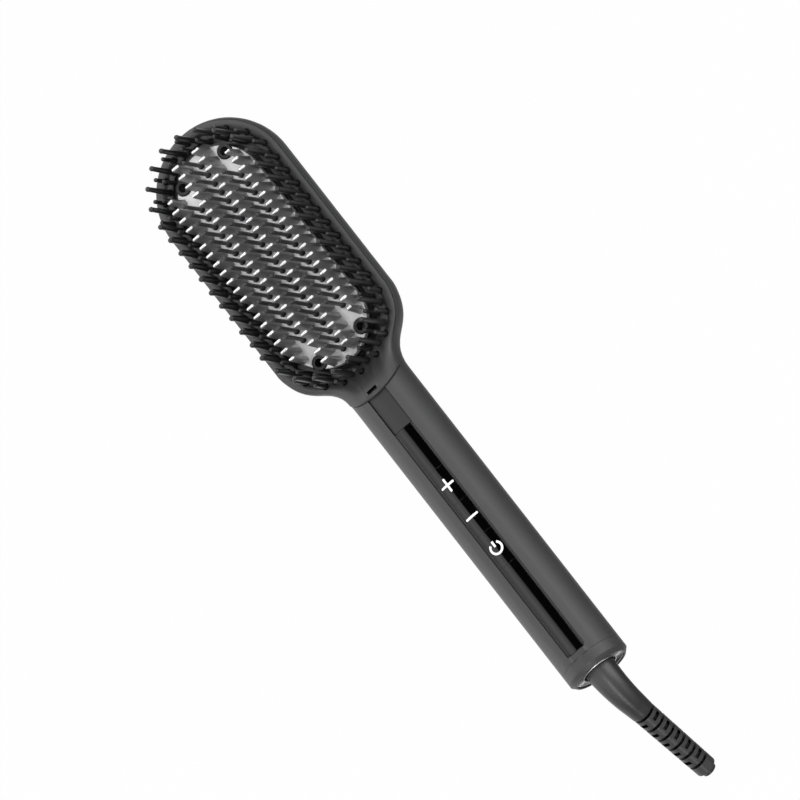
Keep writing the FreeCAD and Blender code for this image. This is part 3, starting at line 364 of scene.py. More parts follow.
def around_tree() -> GeometryTree:
    """Tree that sets one shape in a ring about the X axis through the carrier's origin.

    Returns:
        A tree with the inputs Shape, Count, Radius, Centre and Finish.
    """
    tree = GeometryTree("around")
    shape = tree.add_input("Shape", "Object")
    count = tree.add_input("Count", "Int", 60)
    radius = tree.add_input("Radius", "Float", 0.01)
    centre = tree.add_input("Centre", "Vector")
    finish = tree.add_input("Finish", "Material")
    info = tree.node("GeometryNodeObjectInfo", transform_space="ORIGINAL")
    circle = tree.node("GeometryNodeMeshCircle")
    index = tree.node("GeometryNodeInputIndex")
    share = tree.node("ShaderNodeMath", operation="DIVIDE")
    turn = tree.node("ShaderNodeMath", operation="MULTIPLY")
    turn.inputs[1].default_value = 2.0 * math.pi
    angles = tree.node("ShaderNodeCombineXYZ")
    rotation = tree.node("FunctionNodeEulerToRotation")
    stand = tree.node("GeometryNodeInstanceOnPoints")
    place = tree.node("GeometryNodeTransform")
    place.inputs["Rotation"].default_value = (0.0, QUARTER, 0.0)
    join = tree.node("GeometryNodeJoinGeometry")
    tree.link(shape, info.inputs["Object"])
    tree.link(count, circle.inputs["Vertices"])
    tree.link(radius, circle.inputs["Radius"])
    tree.link(index.outputs[0], share.inputs[0])
    tree.link(count, share.inputs[1])
    tree.link(share.outputs[0], turn.inputs[0])
    tree.link(turn.outputs[0], angles.inputs["Z"])
    tree.link(angles.outputs[0], rotation.inputs[0])
    tree.link(circle.outputs["Mesh"], stand.inputs["Points"])
    tree.link(info.outputs["Geometry"], stand.inputs["Instance"])
    tree.link(rotation.outputs[0], stand.inputs["Rotation"])
    tree.link(stand.outputs["Instances"], place.inputs["Geometry"])
    tree.link(centre, place.inputs["Translation"])
    tree.link(tree.entry.outputs["Geometry"], join.inputs["Geometry"])
    tree.link(place.outputs["Geometry"], join.inputs["Geometry"])
    tree.finish(join.outputs["Geometry"], finish)
    return tree


def stood(name: str, shapes: ShapeSet, places: Sequence[tuple[Point, int]], finish: bpy.types.Material,
          lean_deg: float = 0.0, seed: int = 1) -> bpy.types.Object:
    """Stand numbered shapes at drawn places and keep the result as one mesh.

    Args:
        name: name of the finished piece.
        shapes: the shapes.
        places: a drawn place and the number of its shape, one for each copy.
        finish: material of the whole piece.
        lean_deg: the most that a copy leans, in degrees.
        seed: seed of the leans and turns.

    Returns:
        The finished piece, at the origin.
    """
    carrier = points_object(name + "_places", [place for place, _ in places])
    kinds = carrier.data.attributes.new("kind", "INT", "POINT")
    kinds.data.foreach_set("value", [number for _, number in places])
    return standing_tree().apply(name, carrier, {
        "Shapes": shapes.collection, "Lean": math.radians(lean_deg), "Seed": seed, "Finish": finish})


def filled_outline(name: str, outline: Sequence[Pair],
                   holes: Sequence[Sequence[Pair]], z0: float, z1: float,
                   bevel: float) -> bpy.types.Object:
    """Slab with holes and bevelled edges over a closed outline.

    Args:
        name: name of the finished piece.
        outline: outer outline as drawn (x, y) points.
        holes: outlines of the holes.
        z0: drawn level of the underside.
        z1: drawn level of the top.
        bevel: width of the rounding along every edge.

    Returns:
        The slab as a mesh in the row frame.
    """
    curve = bpy.data.curves.new(name, "CURVE")
    curve.dimensions = "2D"
    curve.fill_mode = "BOTH"
    curve.extrude = ((z1 - z0) / 2 - bevel) * MM
    curve.bevel_depth = bevel * MM
    curve.bevel_resolution = 2
    curve.offset = -bevel * MM
    for loop in [outline, *holes]:
        spline = curve.splines.new("POLY")
        spline.points.add(len(loop) - 1)
        for point, (x, y) in zip(spline.points, loop):
            point.co = (x * MM, y * MM, 0.0, 1.0)
        spline.use_cyclic_u = True
    mesh = kept_mesh(name, shown(name, curve))
    bpy.data.curves.remove(curve)
    bm = bmesh.new()
    bm.from_mesh(mesh)
    bmesh.ops.remove_doubles(bm, verts=bm.verts, dist=WELD * MM)
    bmesh.ops.recalc_face_normals(bm, faces=bm.faces)
    bmesh.ops.translate(bm, verts=bm.verts, vec=Drawing.row((0.0, 0.0, (z0 + z1) / 2)))
    return shown(name, smoothed(bm, mesh))


def arc(centre: Pair, radius: float, start: float, end: float,
        steps: int) -> list[Pair]:
    """Points along a plane arc, both ends among them.

    Args:
        centre: centre of the arc.
        radius: its radius.
        start: angle of the first point, in radians.
        end: angle of the last point.
        steps: number of intervals.

    Returns:
        The (x, y) points.
    """
    angles = [start + (end - start) * i / steps for i in range(steps + 1)]
    return [(centre[0] + radius * math.cos(a), centre[1] + radius * math.sin(a)) for a in angles]


def stadium(radius: float, end_x: float, steps: int) -> list[Pair]:
    """Outline of a slab with round ends.

    Args:
        radius: radius of the ends.
        end_x: the ends are about +-end_x.
        steps: intervals round each end.

    Returns:
        The (x, y) points, anticlockwise.
    """
    return (arc((end_x, 0.0), radius, -QUARTER, QUARTER, steps)
            + arc((-end_x, 0.0), radius, QUARTER, 3 * QUARTER, steps))


# ---- finishes -------------------------------------------------------------------------------------
class ShadeNet(NodeNet):
    """Emptied node tree of a material or of the world."""

    def __init__(self, owner: bpy.types.Material | bpy.types.World) -> None:
        """Empty the owner's tree."""
        owner.use_nodes = True
        self.tree = owner.node_tree
        self.tree.nodes.clear()

    def spread(self, value: Socket, low: float, high: float,
               source: Pair = (0.25, 0.75)) -> Socket:
        """Map a value from one range to another.

        Args:
            value: the value.
            low: result at the lower end of the source range.
            high: result at its upper end.
            source: the source range.

        Returns:
            The mapped value.
        """
        mapped = self.node("ShaderNodeMapRange")
        self.link(value, mapped.inputs["Value"])
        for name, number in zip(("From Min", "From Max", "To Min", "To Max"), (*source, low, high)):
            mapped.inputs[name].default_value = number
        return mapped.outputs["Result"]

    def ramp(self, value: Socket, span: Pair,
             stops: Sequence[Pair]) -> Socket:
        """Smooth run of grey levels over the span of a value.

        Args:
            value: the value.
            span: values at the two ends of the run.
            stops: positions from 0 to 1 along the run, and their levels.

        Returns:
            The level.
        """
        ramp = self.node("ShaderNodeValToRGB")
        ramp.color_ramp.interpolation = "EASE"
        elements = ramp.color_ramp.elements
        while len(elements) < len(stops):
            elements.new(0.5)
        for element, (position, level) in zip(elements, stops):
            element.position = position
            element.color = (level, level, level, 1.0)
        self.link(self.spread(value, 0.0, 1.0, span), ramp.inputs["Fac"])
        return ramp.outputs["Color"]

    def blend(self, factor: Socket, first: bpy.types.Node,
              second: bpy.types.Node) -> bpy.types.Node:
        """Mix two shaders by a factor."""
        mixed = self.node("ShaderNodeMixShader")
        self.link(factor, mixed.inputs["Fac"])
        self.link(first.outputs[0], mixed.inputs[1])
        self.link(second.outputs[0], mixed.inputs[2])
        return mixed


class NodeSheet(ShadeNet):
    """A material's nodes, with short calls for those that several finishes share."""

    def __init__(self, name: str) -> None:
        """Start a material with a shader, an output and Object coordinates."""
        self.material = bpy.data.materials.new(name)
        super().__init__(self.material)
        self.shader = self.node("ShaderNodeBsdfPrincipled")
        output = self.node("ShaderNodeOutputMaterial")
        self.link(self.shader.outputs["BSDF"], output.inputs["Surface"])
        self.place = self.node("ShaderNodeTexCoord").outputs["Object"]

    def noise(self, size: float, detail: float = 2.0,
              stretch: Point = (1.0, 1.0, 1.0)) -> Socket:
        """Noise in Object coordinates.

        Args:
            size: size of its blobs in millimetres.
            detail: number of finer octaves.
            stretch: how much longer the blobs are along each axis.

        Returns:
            The noise value, from 0 to 1.
        """
        mapping = self.node("ShaderNodeMapping")
        mapping.inputs["Scale"].default_value = tuple(1.0 / s for s in stretch)
        texture = self.node("ShaderNodeTexNoise")
        texture.inputs["Scale"].default_value = 1.0 / (size * MM)
        texture.inputs["Detail"].default_value = detail
        self.link(self.place, mapping.inputs["Vector"])
        self.link(mapping.outputs["Vector"], texture.inputs["Vector"])
        return texture.outputs["Fac"]

    def mix(self, factor: Socket, first: Colour | Socket,
            second: Colour | Socket) -> Socket:
        """Mix two colours, each plain or from a socket, by a factor."""
        mixed = self.node("ShaderNodeMix", data_type="RGBA")
        self.link(factor, mixed.inputs[0])
        for colour, socket in ((first, mixed.inputs[6]), (second, mixed.inputs[7])):
            if isinstance(colour, tuple):
                socket.default_value = (*colour, 1.0)
            else:
                self.link(colour, socket)
        return mixed.outputs[2]

    def bump(self, height: Socket, depth: float,
             normal: Socket | None = None) -> Socket:
        """Bump of a depth in millimetres, over an optional normal."""
        bump = self.node("ShaderNodeBump")
        bump.inputs["Distance"].default_value = depth * MM
        self.link(height, bump.inputs["Height"])
        if normal is not None:
            self.link(normal, bump.inputs["Normal"])
        return bump.outputs["Normal"]


class Texture(Enum):
    """How a finish is textured."""

    SPARKED = "fine spark-eroded grain of a mould"
    POLISHED = "polished mould, nearly smooth"
    BRUSHED = "fine lines along X"
    CAST = "soft unevenness of a coated casting"


GRAIN = {
    Texture.SPARKED: (0.16, (1.0, 1.0, 1.0), 0.012),
    Texture.POLISHED: (2.5, (1.0, 1.0, 1.0), 0.002),
    Texture.BRUSHED: (0.12, (14.0, 1.0, 1.0), 0.006),
    Texture.CAST: (0.6, (1.0, 1.0, 1.0), 0.03),
}


@dataclass(frozen=True)
class Finish:
    """A plain material finish with grain, slight colour mottling and uneven gloss, and where set, painted
    shade in recesses and a painted glow.

    Attributes:
        name: name of the material.
        colour: linear base colour.
        roughness: mean roughness.
        texture: kind of grain.
        metallic: share of metal.
        ior: index of refraction.
        mottle: share by which the colour varies.
        edge: radius in millimetres to which edges are rounded in shading, or 0.
        painted_shade_depth: depth in millimetres within which recesses get painted shade, or 0.
        glow: strength of a painted glow, light added to the colour though the part is no lamp.
    """

    name: str
    colour: Colour
    roughness: float
    texture: Texture = Texture.SPARKED
    metallic: float = 0.0
    ior: float = 1.5
    mottle: float = 0.06
    edge: float = 0.0
    painted_shade_depth: float = 0.0
    glow: float = 0.0

    def sheet(self) -> NodeSheet:
        """Build the nodes of the finish.

        Returns:
            The sheet, so that a finish with more to it can go on from there.
        """
        sheet = NodeSheet(self.name)
        shader = sheet.shader.inputs
        shader["Metallic"].default_value = self.metallic
        shader["IOR"].default_value = self.ior
        cloud = sheet.noise(CLOUD_SIZE, detail=3.0)
        low = tuple(c * (1.0 - self.mottle) for c in self.colour)
        high = tuple(c * (1.0 + self.mottle) for c in self.colour)
        base = sheet.mix(sheet.spread(cloud, 0.0, 1.0), low, high)
        # painted shade: the colour falls to black where ambient occlusion finds near surfaces
        if self.painted_shade_depth > 0.0:
            base = self.painted_hollow_shade(sheet, base)
        sheet.link(base, shader["Base Color"])
        # Painted glow: the colour also shines by the glow strength, though the part is no lamp.
        shader["Emission Color"].default_value = (*self.colour, 1.0)
        shader["Emission Strength"].default_value = self.glow
        size, stretch, depth = GRAIN[self.texture]
        grain = sheet.noise(size, stretch=stretch)
        share = ROUGHNESS_SPREAD * self.roughness
        sheet.link(sheet.spread(grain, self.roughness - share, self.roughness + share),
                   shader["Roughness"])
        rounded = None
        if self.edge > 0.0:
            bevel = sheet.node("ShaderNodeBevel", samples=BEVEL_SAMPLES)
            bevel.inputs["Radius"].default_value = self.edge * MM
            rounded = bevel.outputs["Normal"]
        sheet.link(sheet.bump(grain, depth, rounded), shader["Normal"])
        return sheet

    def painted_hollow_shade(self, sheet: NodeSheet, base: Socket) -> Socket:
        """Painted shade: colour that falls to black in narrow hollows, by ambient occlusion.

        Args:
            sheet: the material's nodes.
            base: colour in the open.

        Returns:
            The shaded colour.
        """
        air = sheet.node("ShaderNodeAmbientOcclusion", samples=PAINTED_SHADE_SAMPLES)
        air.inputs["Distance"].default_value = self.painted_shade_depth * MM
        return sheet.mix(sheet.spread(air.outputs["AO"], 0.0, 1.0, PAINTED_SHADE_RANGE), BLACK, base)

    def build(self) -> bpy.types.Material:
        """Build the material."""
        return self.sheet().material


@dataclass(frozen=True)
class WornHighlitFinish(Finish):
    """A coated metal whose tips and edges are rubbed bare and painted lighter as a highlight, by an attribute
    of the mesh.

    Attributes:
        bare: linear colour of the bare metal, lighter for the painted highlight on the tops.
        bare_roughness: its roughness.
        bare_metallic: its share of metal.
    """

    bare: Colour = (0.7, 0.7, 0.7)
    bare_roughness: float = 0.2
    bare_metallic: float = 1.0

    def build(self) -> bpy.types.Material:
        """Build the material, with the coat giving way to bare, lighter metal, partly rubbed and partly
        painted highlight, where the mesh's attribute is 1.
        """
        sheet = self.sheet()
        shader = sheet.shader.inputs
        # The attribute marks rubbed metal and a painted highlight on the fin tops.
        wear = sheet.node("ShaderNodeAttribute", attribute_name="wear").outputs["Fac"]
        uneven = sheet.spread(sheet.noise(WEAR_HIGHLIGHT_SIZE, detail=3.0), *WEAR_HIGHLIGHT_SPREAD)
        worn_and_highlit = sheet.node("ShaderNodeMath", operation="ADD", use_clamp=True)
        sheet.link(wear, worn_and_highlit.inputs[0])
        sheet.link(uneven, worn_and_highlit.inputs[1])
        coat = shader["Base Color"].links[0].from_socket
        sheet.link(sheet.mix(worn_and_highlit.outputs[0], coat, self.bare), shader["Base Color"])
        rough = shader["Roughness"].links[0].from_socket
        smooth = sheet.node("ShaderNodeMix", data_type="FLOAT")
        sheet.link(worn_and_highlit.outputs[0], smooth.inputs[0])
        sheet.link(rough, smooth.inputs[2])
        smooth.inputs[3].default_value = self.bare_roughness
        sheet.link(smooth.outputs[0], shader["Roughness"])
        metal = sheet.spread(worn_and_highlit.outputs[0], self.metallic, self.bare_metallic, (0.0, 1.0))
        sheet.link(metal, shader["Metallic"])
        return sheet.material


HOUSING = Finish("soft_touch_grey", (0.049, 0.049, 0.05), 0.42, edge=0.8)
# Painted shade darkens the rear shell along its seams, grooves and under the front shell's collar.
HANDLE = Finish("soft_touch_grey_handle", (0.049, 0.049, 0.05), 0.42, edge=0.25, painted_shade_depth=0.9)
INSERT = Finish("matte_insert", (0.017, 0.017, 0.018), 0.5, edge=0.12)
STRIP = Finish("gloss_black", (0.0015, 0.0015, 0.0018), 0.06, Texture.POLISHED, ior=1.6, edge=0.08)
# The white marks get a painted glow, though they are no lamps.
MARK = Finish("white_inlay", (0.9, 0.9, 0.9), 0.45, mottle=0.01, glow=0.35)
VENT = Finish("vent_black", (0.006, 0.006, 0.006), 0.5)
NYLON = Finish("black_nylon", (0.02, 0.02, 0.021), 0.31, Texture.POLISHED)
TRAY = Finish("tray_black", (0.008, 0.008, 0.008), 0.5)
# Fins whose tops are rubbed bare and painted lighter as a highlight.
FIN_COAT = WornHighlitFinish("coated_fins", (0.42, 0.42, 0.42), 0.36, Texture.CAST, metallic=0.7)
PLATE_COAT = Finish("coated_plate", (0.65, 0.65, 0.65), 0.38, Texture.CAST, metallic=0.55)
RING_METAL = Finish("bright_ring", (0.58, 0.58, 0.58), 0.28, Texture.POLISHED, metallic=1.0)
ELBOW = Finish("elbow_rubber", (0.032, 0.032, 0.033), 0.31)
# Painted shade turns the colour in the strain relief's grooves and slots black.
RELIEF = Finish("relief_rubber", (0.045, 0.045, 0.046), 0.33, edge=0.15, painted_shade_depth=3.0)
INNER_FINISHES = {
    Finish("zinc_steel", (0.3, 0.3, 0.3), 0.35, Texture.BRUSHED, metallic=1.0): ("head_screws",),
    Finish("white_alumina", (0.78, 0.76, 0.72), 0.5): ("left_heater", "right_heater"),
    Finish("spring_steel", (0.5, 0.5, 0.5), 0.3, Texture.BRUSHED, metallic=1.0): (
        "heater_clamp", "thermal_fuse"),
    Finish("mica", (0.45, 0.36, 0.2), 0.4, Texture.CAST, mottle=0.3): ("insulation_sheet",),
    Finish("bead_glass", (0.85, 0.8, 0.65), 0.1, Texture.POLISHED): ("thermistor", "key_lights"),
    Finish("sleeve_white", (0.7, 0.7, 0.66), 0.6, Texture.BRUSHED): (
        "heater_leads", "sensor_lead", "mains_leads"),
    Finish("frame_grey", (0.18, 0.18, 0.18), 0.5): (
        "chassis", "ion_emitter", "swivel_core", "contact_block"),
    Finish("solder_green", (0.02, 0.14, 0.05), 0.35, Texture.CAST): ("control_board", "power_board"),
    Finish("display_lens", (0.01, 0.01, 0.01), 0.1, Texture.POLISHED): ("display_module",),
    Finish("epoxy_yellow", (0.6, 0.4, 0.05), 0.35, Texture.CAST): ("capacitor",),
    Finish("ferrite", (0.05, 0.045, 0.045), 0.55): ("choke",),
    Finish("moulded_black", (0.015, 0.015, 0.015), 0.4): (
        "switch_bodies", "plus_plunger", "minus_plunger", "power_plunger", "microcontroller",
        "triac", "ion_generator"),
    Finish("rolled_brass", (0.6, 0.42, 0.16), 0.3, Texture.BRUSHED, metallic=1.0): (
        "slip_rings", "contact_springs"),
}


# ---- sub-assemblies -------------------------------------------------------------------------------
class SubAssembly:
    """Pieces that are dressed or built together."""

    def dress(self, finish: Finish, nodes: Iterable[str]) -> None:
        """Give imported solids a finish.

        Args:
            finish: the finish.
            nodes: names of the solids.
        """
        material = finish.build()
        for name in nodes:
            solid = frame["nodes"][name]
            if not solid.material_slots:
                solid.data.materials.append(material)
            for place in solid.material_slots:
                place.material = material
            LOG.info("dressed %s in %s", name, finish.name)

    def fit(self, piece: bpy.types.Object, body: str, slot: str, *nodes: str) -> None:
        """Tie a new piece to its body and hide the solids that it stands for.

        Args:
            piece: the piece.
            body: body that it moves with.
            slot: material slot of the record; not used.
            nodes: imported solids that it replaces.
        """
        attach(piece, body)
        if nodes:
            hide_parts(*nodes)
        LOG.info("built %s, %d faces", piece.name, len(piece.data.polygons))


@dataclass
class HeatingPlate(SubAssembly):
    """Finned plate: a bevelled stadium slab with holes, and upright fins that taper to narrow tops."""

    end_x: float = 36.1
    plate_r: float = 19.7
    levels: Pair = (6.2, 9.8)
    hole_r: float = 1.4
    pitch: float = 4.8
    column: float = 5.7
    top_z: float = 25.4
    top: Pair = (1.3, 3.9)
    foot: Pair = (2.5, 5.2)
    root: float = 0.3
    corner: float = 0.35
    rounding: float = 0.6
    full_rows: int = 9
    rows: int = 11
    boss: Pair = (48.4, 12.0)
    notch_r: float = 3.5
    side_gap: float = 0.1
    bevel: float = 0.25
    shares: tuple[float, ...] = (0.0, 0.03, 0.08, 0.16, 0.3, 0.6, 0.93, 1.0)    # of a fin's height
    flare: tuple[float, float, int] = (0.4, 0.6, 6)     # even part, foot part and its power
    # share of rubbed metal and painted highlight at a fin top's shoulder
    shoulder_wear_and_highlight: float = 0.5
    tip_turns: tuple[float, ...] = (30.0, 60.0, 85.0)   # degrees round the top's edge
    corner_share: float = 0.8                           # most of a half size that a corner takes
    corner_steps: int = 3
    hole_steps: int = 18
    notch_steps: int = 14
    side_steps: int = 16
    end_steps: int = 24

    def half_width(self, x: float) -> float:
        """Half width of the plate at x."""
        past = max(abs(x) - self.end_x, 0.0)
        return math.sqrt(self.plate_r ** 2 - past ** 2)

    def reach(self, row: int) -> float:
        """Furthest y of a row's fins, kept inside the plate and clear of the screw bosses."""
        x = abs(row) * self.pitch
        edge = self.half_width(x + self.foot[0] / 2) - self.side_gap
        dx = abs(x - self.boss[0]) - self.foot[0] / 2
        if dx < self.notch_r and x > self.boss[0] - self.pitch / 2:
            notch = math.sqrt(self.notch_r ** 2 - max(dx, 0.0) ** 2)
            edge = min(edge, self.boss[1] - notch - self.side_gap)
        return edge

    def sections(self) -> list[tuple[float, float, float, float]]:
        """Sections of a fin from its foot to its rounded top.

        Returns:
            Half size along the brush, half size across it, drawn level, and share of rubbed metal with
            painted highlight, of each section.
        """
        foot_z = self.levels[1] - self.root
        shoulder_z = self.top_z - self.rounding
        even, spread, power = self.flare
        sections = []
        for share in self.shares:
            left = 1.0 - share
            along = (self.top[0] + (self.foot[0] - self.top[0]) * left) / 2
            flare = even * left + spread * left ** power
            across = (self.top[1] + (self.foot[1] - self.top[1]) * flare) / 2
            wear = self.shoulder_wear_and_highlight * (share == 1.0)
            sections.append((along, across, foot_z + (shoulder_z - foot_z) * share, wear))
        for turn in map(math.radians, self.tip_turns):
            inset = self.rounding * (1.0 - math.cos(turn))
            level = shoulder_z + self.rounding * math.sin(turn)
            sections.append((self.top[0] / 2 - inset, self.top[1] / 2 - inset, level, 1.0))
        return sections

    def fin_shape(self, room: float, side: int) -> bmesh.types.BMesh:
        """One fin about its own middle, cut off where the plate ends.

        Args:
            room: distance from the fin's middle to the plate's edge, in millimetres.
            side: 1 if that edge lies towards +Y, -1 if it lies towards -Y.

        Returns:
            The fin's closed mesh with its layer of rubbed metal and painted highlight.
        """
        bm = bmesh.new()
        layer = bm.verts.layers.float.new("wear")
        loops = []
        for along, across, level, wear in self.sections():
            radius = min(self.corner, along * self.corner_share)
            loop = []
            for turn, (sx, sy) in enumerate(((1, 1), (-1, 1), (-1, -1), (1, -1))):
                middle = (sx * (along - radius), sy * (across - radius))
                for x, y in arc(middle, radius, turn * QUARTER, (turn + 1) * QUARTER, self.corner_steps):
                    kept = side * min(side * y, room)
                    vertex = bm.verts.new((x, kept, level))
                    vertex[layer] = wear
                    loop.append(vertex)
            loops.append(loop)
        for lower, upper in zip(loops, loops[1:]):
            bridge(bm, lower, upper)
        bm.faces.new(tuple(reversed(loops[0])))
        bm.faces.new(tuple(loops[-1]))
        return bm

    def stand_fins(self, shapes: ShapeSet) -> list[tuple[Point, int]]:
        """Draw the fins that are needed and place them on the plate.

        Args:
            shapes: set that takes the drawn fins.

        Returns:
            A place and the number of its fin, for each fin.
        """
        whole = self.foot[1] / 2
        numbers: dict[tuple[float, int], int] = {}
        places = []
        for row in range(-self.rows, self.rows + 1):
            columns = (-3, -1, 1, 3) if abs(row) <= self.full_rows else (-1, 1)
            for column in columns:
                y = column * self.column
                side = 1 if y > 0.0 else -1
                room = round(min(self.reach(row) - abs(y), whole), 3)
                key = (room, side if room < whole else 1)
                if key not in numbers:
                    numbers[key] = shapes.add(self.fin_shape(*key))
                places.append(((row * self.pitch, y, 0.0), numbers[key]))
        return places

    def outline(self) -> list[Pair]:
        """Plate outline with a notch round each screw boss.

        Returns:
            The (x, y) points, anticlockwise.
        """
        dx, dy = self.boss[0] - self.end_x, self.boss[1]
        reach = math.hypot(dx, dy)
        toward = math.atan2(dy, dx)
        cosine = (reach ** 2 + self.plate_r ** 2 - self.notch_r ** 2) / (2 * reach * self.plate_r)
        bite = math.acos(cosine)
        mouth = math.atan2(self.plate_r * math.sin(bite), self.plate_r * math.cos(bite) - reach)
        centre, steps = (self.end_x, 0.0), self.notch_steps
        notch_up = arc(self.boss, self.notch_r, toward - mouth, toward + mouth - 2 * math.pi, steps)
        low_boss = (self.boss[0], -self.boss[1])
        notch_low = arc(low_boss, self.notch_r, -toward - mouth, -toward + mouth - 2 * math.pi, steps)
        right = (arc(centre, self.plate_r, -QUARTER, -toward - bite, self.side_steps)[:-1] + notch_low
                 + arc(centre, self.plate_r, -toward + bite, toward - bite, self.end_steps)[1:-1] + notch_up
                 + arc(centre, self.plate_r, toward + bite, QUARTER, self.side_steps)[1:])
        return right + [(-x, -y) for x, y in right]

    def bristle_places(self) -> list[Pair]:
        """Places of the bristles between the fin rows."""
        places = []
        for row in range(-self.rows, self.rows):
            x = (row + 0.5) * self.pitch
            side = 2 * self.column
            places += [(x, y) for y in (-side, 0.0, side) if y == 0.0 or abs(x) < InnerBristles.side_end_x]
        return places

    def build(self) -> None:
        """Build plate and fins."""
        holes = [arc(place, self.hole_r, 0.0, -2 * math.pi, self.hole_steps)[:-1]
                 for place in self.bristle_places()]
        slab = filled_outline("plate_slab", self.outline(), holes, *self.levels, self.bevel)
        slab.data.materials.append(PLATE_COAT.build())
        self.fit(slab, "housing", "plate_silver", "heating_plate")
        shapes = ShapeSet("fin")
        places = self.stand_fins(shapes)
        fins = stood("fins", shapes, places, FIN_COAT.build())
        shapes.remove()
        self.fit(fins, "housing", "plate_silver", "heating_plate")


@dataclass
class BristleShape:
    """Moulded bristle: a slim cone with a small ball at its end."""

    foot_r: float
    neck_r: float
    ball_r: float
    sides: int = 20
    foot_height: float = 0.3
    neck_balls: float = 2.4                             # ball radii from the tip to the neck
    taper: tuple[float, ...] = (0.35, 0.7, 1.0)         # shares of the way from foot to neck
    ball_steps: int = 8

    def mesh(self, z0: float, z1: float) -> bmesh.types.BMesh:
        """Bristle from z0 to z1, in drawn levels.

        Args:
            z0: level of its foot.
            z1: level of its tip.

        Returns:
            The closed mesh.
        """
        neck = z1 - self.neck_balls * self.ball_r
        profile = [(0.0, z0), (self.foot_r, z0), (self.foot_r, z0 + self.foot_height)]
        profile += [(self.foot_r + (self.neck_r - self.foot_r) * t, z0 + (neck - z0) * t)
                    for t in self.taper]
        start = -math.acos(self.neck_r / self.ball_r)
        ball = arc((0.0, z1 - self.ball_r), self.ball_r, start, QUARTER, self.ball_steps)
        profile += [(radius, z) for radius, z in ball[:-1]] + [(0.0, z1)]
        return lathe(profile, self.sides)


@dataclass
class InnerBristles(SubAssembly):
    """Bristles that stand between the fins, on three combs under the plate."""

    side_end_x: float = 39.4
    rail_z: Pair = (4.2, 6.1)
    rail_half: float = 1.5
    rail_bevel: float = 0.2
    rail_steps: int = 8
    sunk: float = 0.5
    tip_z: float = 31.4
    seed: int = 7
    shape: BristleShape = field(default_factory=lambda: BristleShape(1.0, 0.86, 1.0))

    def build(self, plate: HeatingPlate) -> None:
        """Build the bristles and their combs.

        Args:
            plate: the plate that they pass through.
        """
        finish = NYLON.build()
        shapes = ShapeSet("inner_bristle")
        number = shapes.add(self.shape.mesh(self.rail_z[0] + self.sunk, self.tip_z))
        places = [((x, y, 0.0), number) for x, y in plate.bristle_places()]
        stalks = stood("inner_stalks", shapes, places, finish, LEAN_DEG, self.seed)
        shapes.remove()
        self.fit(stalks, "housing", "bristle_black", "inner_bristles")
        for column, name in ((-2, "left"), (0, "middle"), (2, "right")):
            y = column * plate.column
            ends = max(x for x, py in plate.bristle_places() if abs(py - y) < 1.0)
            loop = [(px, py + y) for px, py in stadium(self.rail_half, ends, self.rail_steps)]
            rail = filled_outline(f"comb_rail_{name}", loop, [], *self.rail_z, self.rail_bevel)
            rail.data.materials.append(finish)
            self.fit(rail, "housing", "bristle_black", "inner_bristles")


@dataclass
class RimBristles(SubAssembly):
    """Three rows of bristles round the plate, on one comb ring under the front shell."""

    end_x: float = 36.1
    intervals: int = 10
    arc_intervals: int = 9
    long_row: Pair = (25.1, 32.0)
    outer_row: Pair = (27.0, 18.9)
    inner_row: Pair = (22.6, 20.0)
    comb_z: Pair = (0.6, 2.2)
    comb_r: Pair = (20.3, 28.4)
    comb_bevel: float = 0.2
    comb_steps: int = 48
    sunk: float = 0.4
    seed: int = 3
    long_shape: BristleShape = field(default_factory=lambda: BristleShape(1.3, 1.05, 1.15))
    short_shape: BristleShape = field(default_factory=lambda: BristleShape(1.05, 0.85, 0.95))

    def stations(self, radius: float, staggered: bool) -> list[Pair]:
        """Places along a row; a staggered row stands half an interval on from the others.

        Args:
            radius: radius of the row's round ends.
            staggered: whether the row is staggered.

        Returns:
            The (x, y) places.
        """
        shift = 0.5 if staggered else 0.0
        step = 2 * self.end_x / self.intervals
        places = []
        for i in range(self.intervals + (0 if staggered else 1)):
            x = -self.end_x + (i + shift) * step
            places += [(x, radius), (x, -radius)]
        for i in range(self.arc_intervals - (0 if staggered else 1)):
            angle = -QUARTER + (i + (0.5 if staggered else 1.0)) * math.pi / self.arc_intervals
            dx, dy = radius * math.cos(angle), radius * math.sin(angle)
            places += [(self.end_x + dx, dy), (-self.end_x - dx, dy)]
        return places

    def build(self) -> None:
        """Build the bristles and the comb ring that they stand in."""
        finish = NYLON.build()
        shapes = ShapeSet("rim_bristle")
        places = []
        for (radius, tip), staggered, shape in ((self.long_row, False, self.long_shape),
                                                (self.outer_row, True, self.short_shape),
                                                (self.inner_row, True, self.short_shape)):
            number = shapes.add(shape.mesh(self.comb_z[0] + self.sunk, tip))
            places += [((x, y, 0.0), number) for x, y in self.stations(radius, staggered)]
        stalks = stood("rim_stalks", shapes, places, finish, LEAN_DEG, self.seed)
        shapes.remove()
        self.fit(stalks, "housing", "bristle_black", "rim_bristles")
        hole, rim = (stadium(radius, self.end_x, self.comb_steps) for radius in self.comb_r)
        ring = filled_outline("rim_comb", rim, [hole[::-1]], *self.comb_z, self.comb_bevel)
        ring.data.materials.append(finish)
        self.fit(ring, "housing", "bristle_black", "rim_bristles")


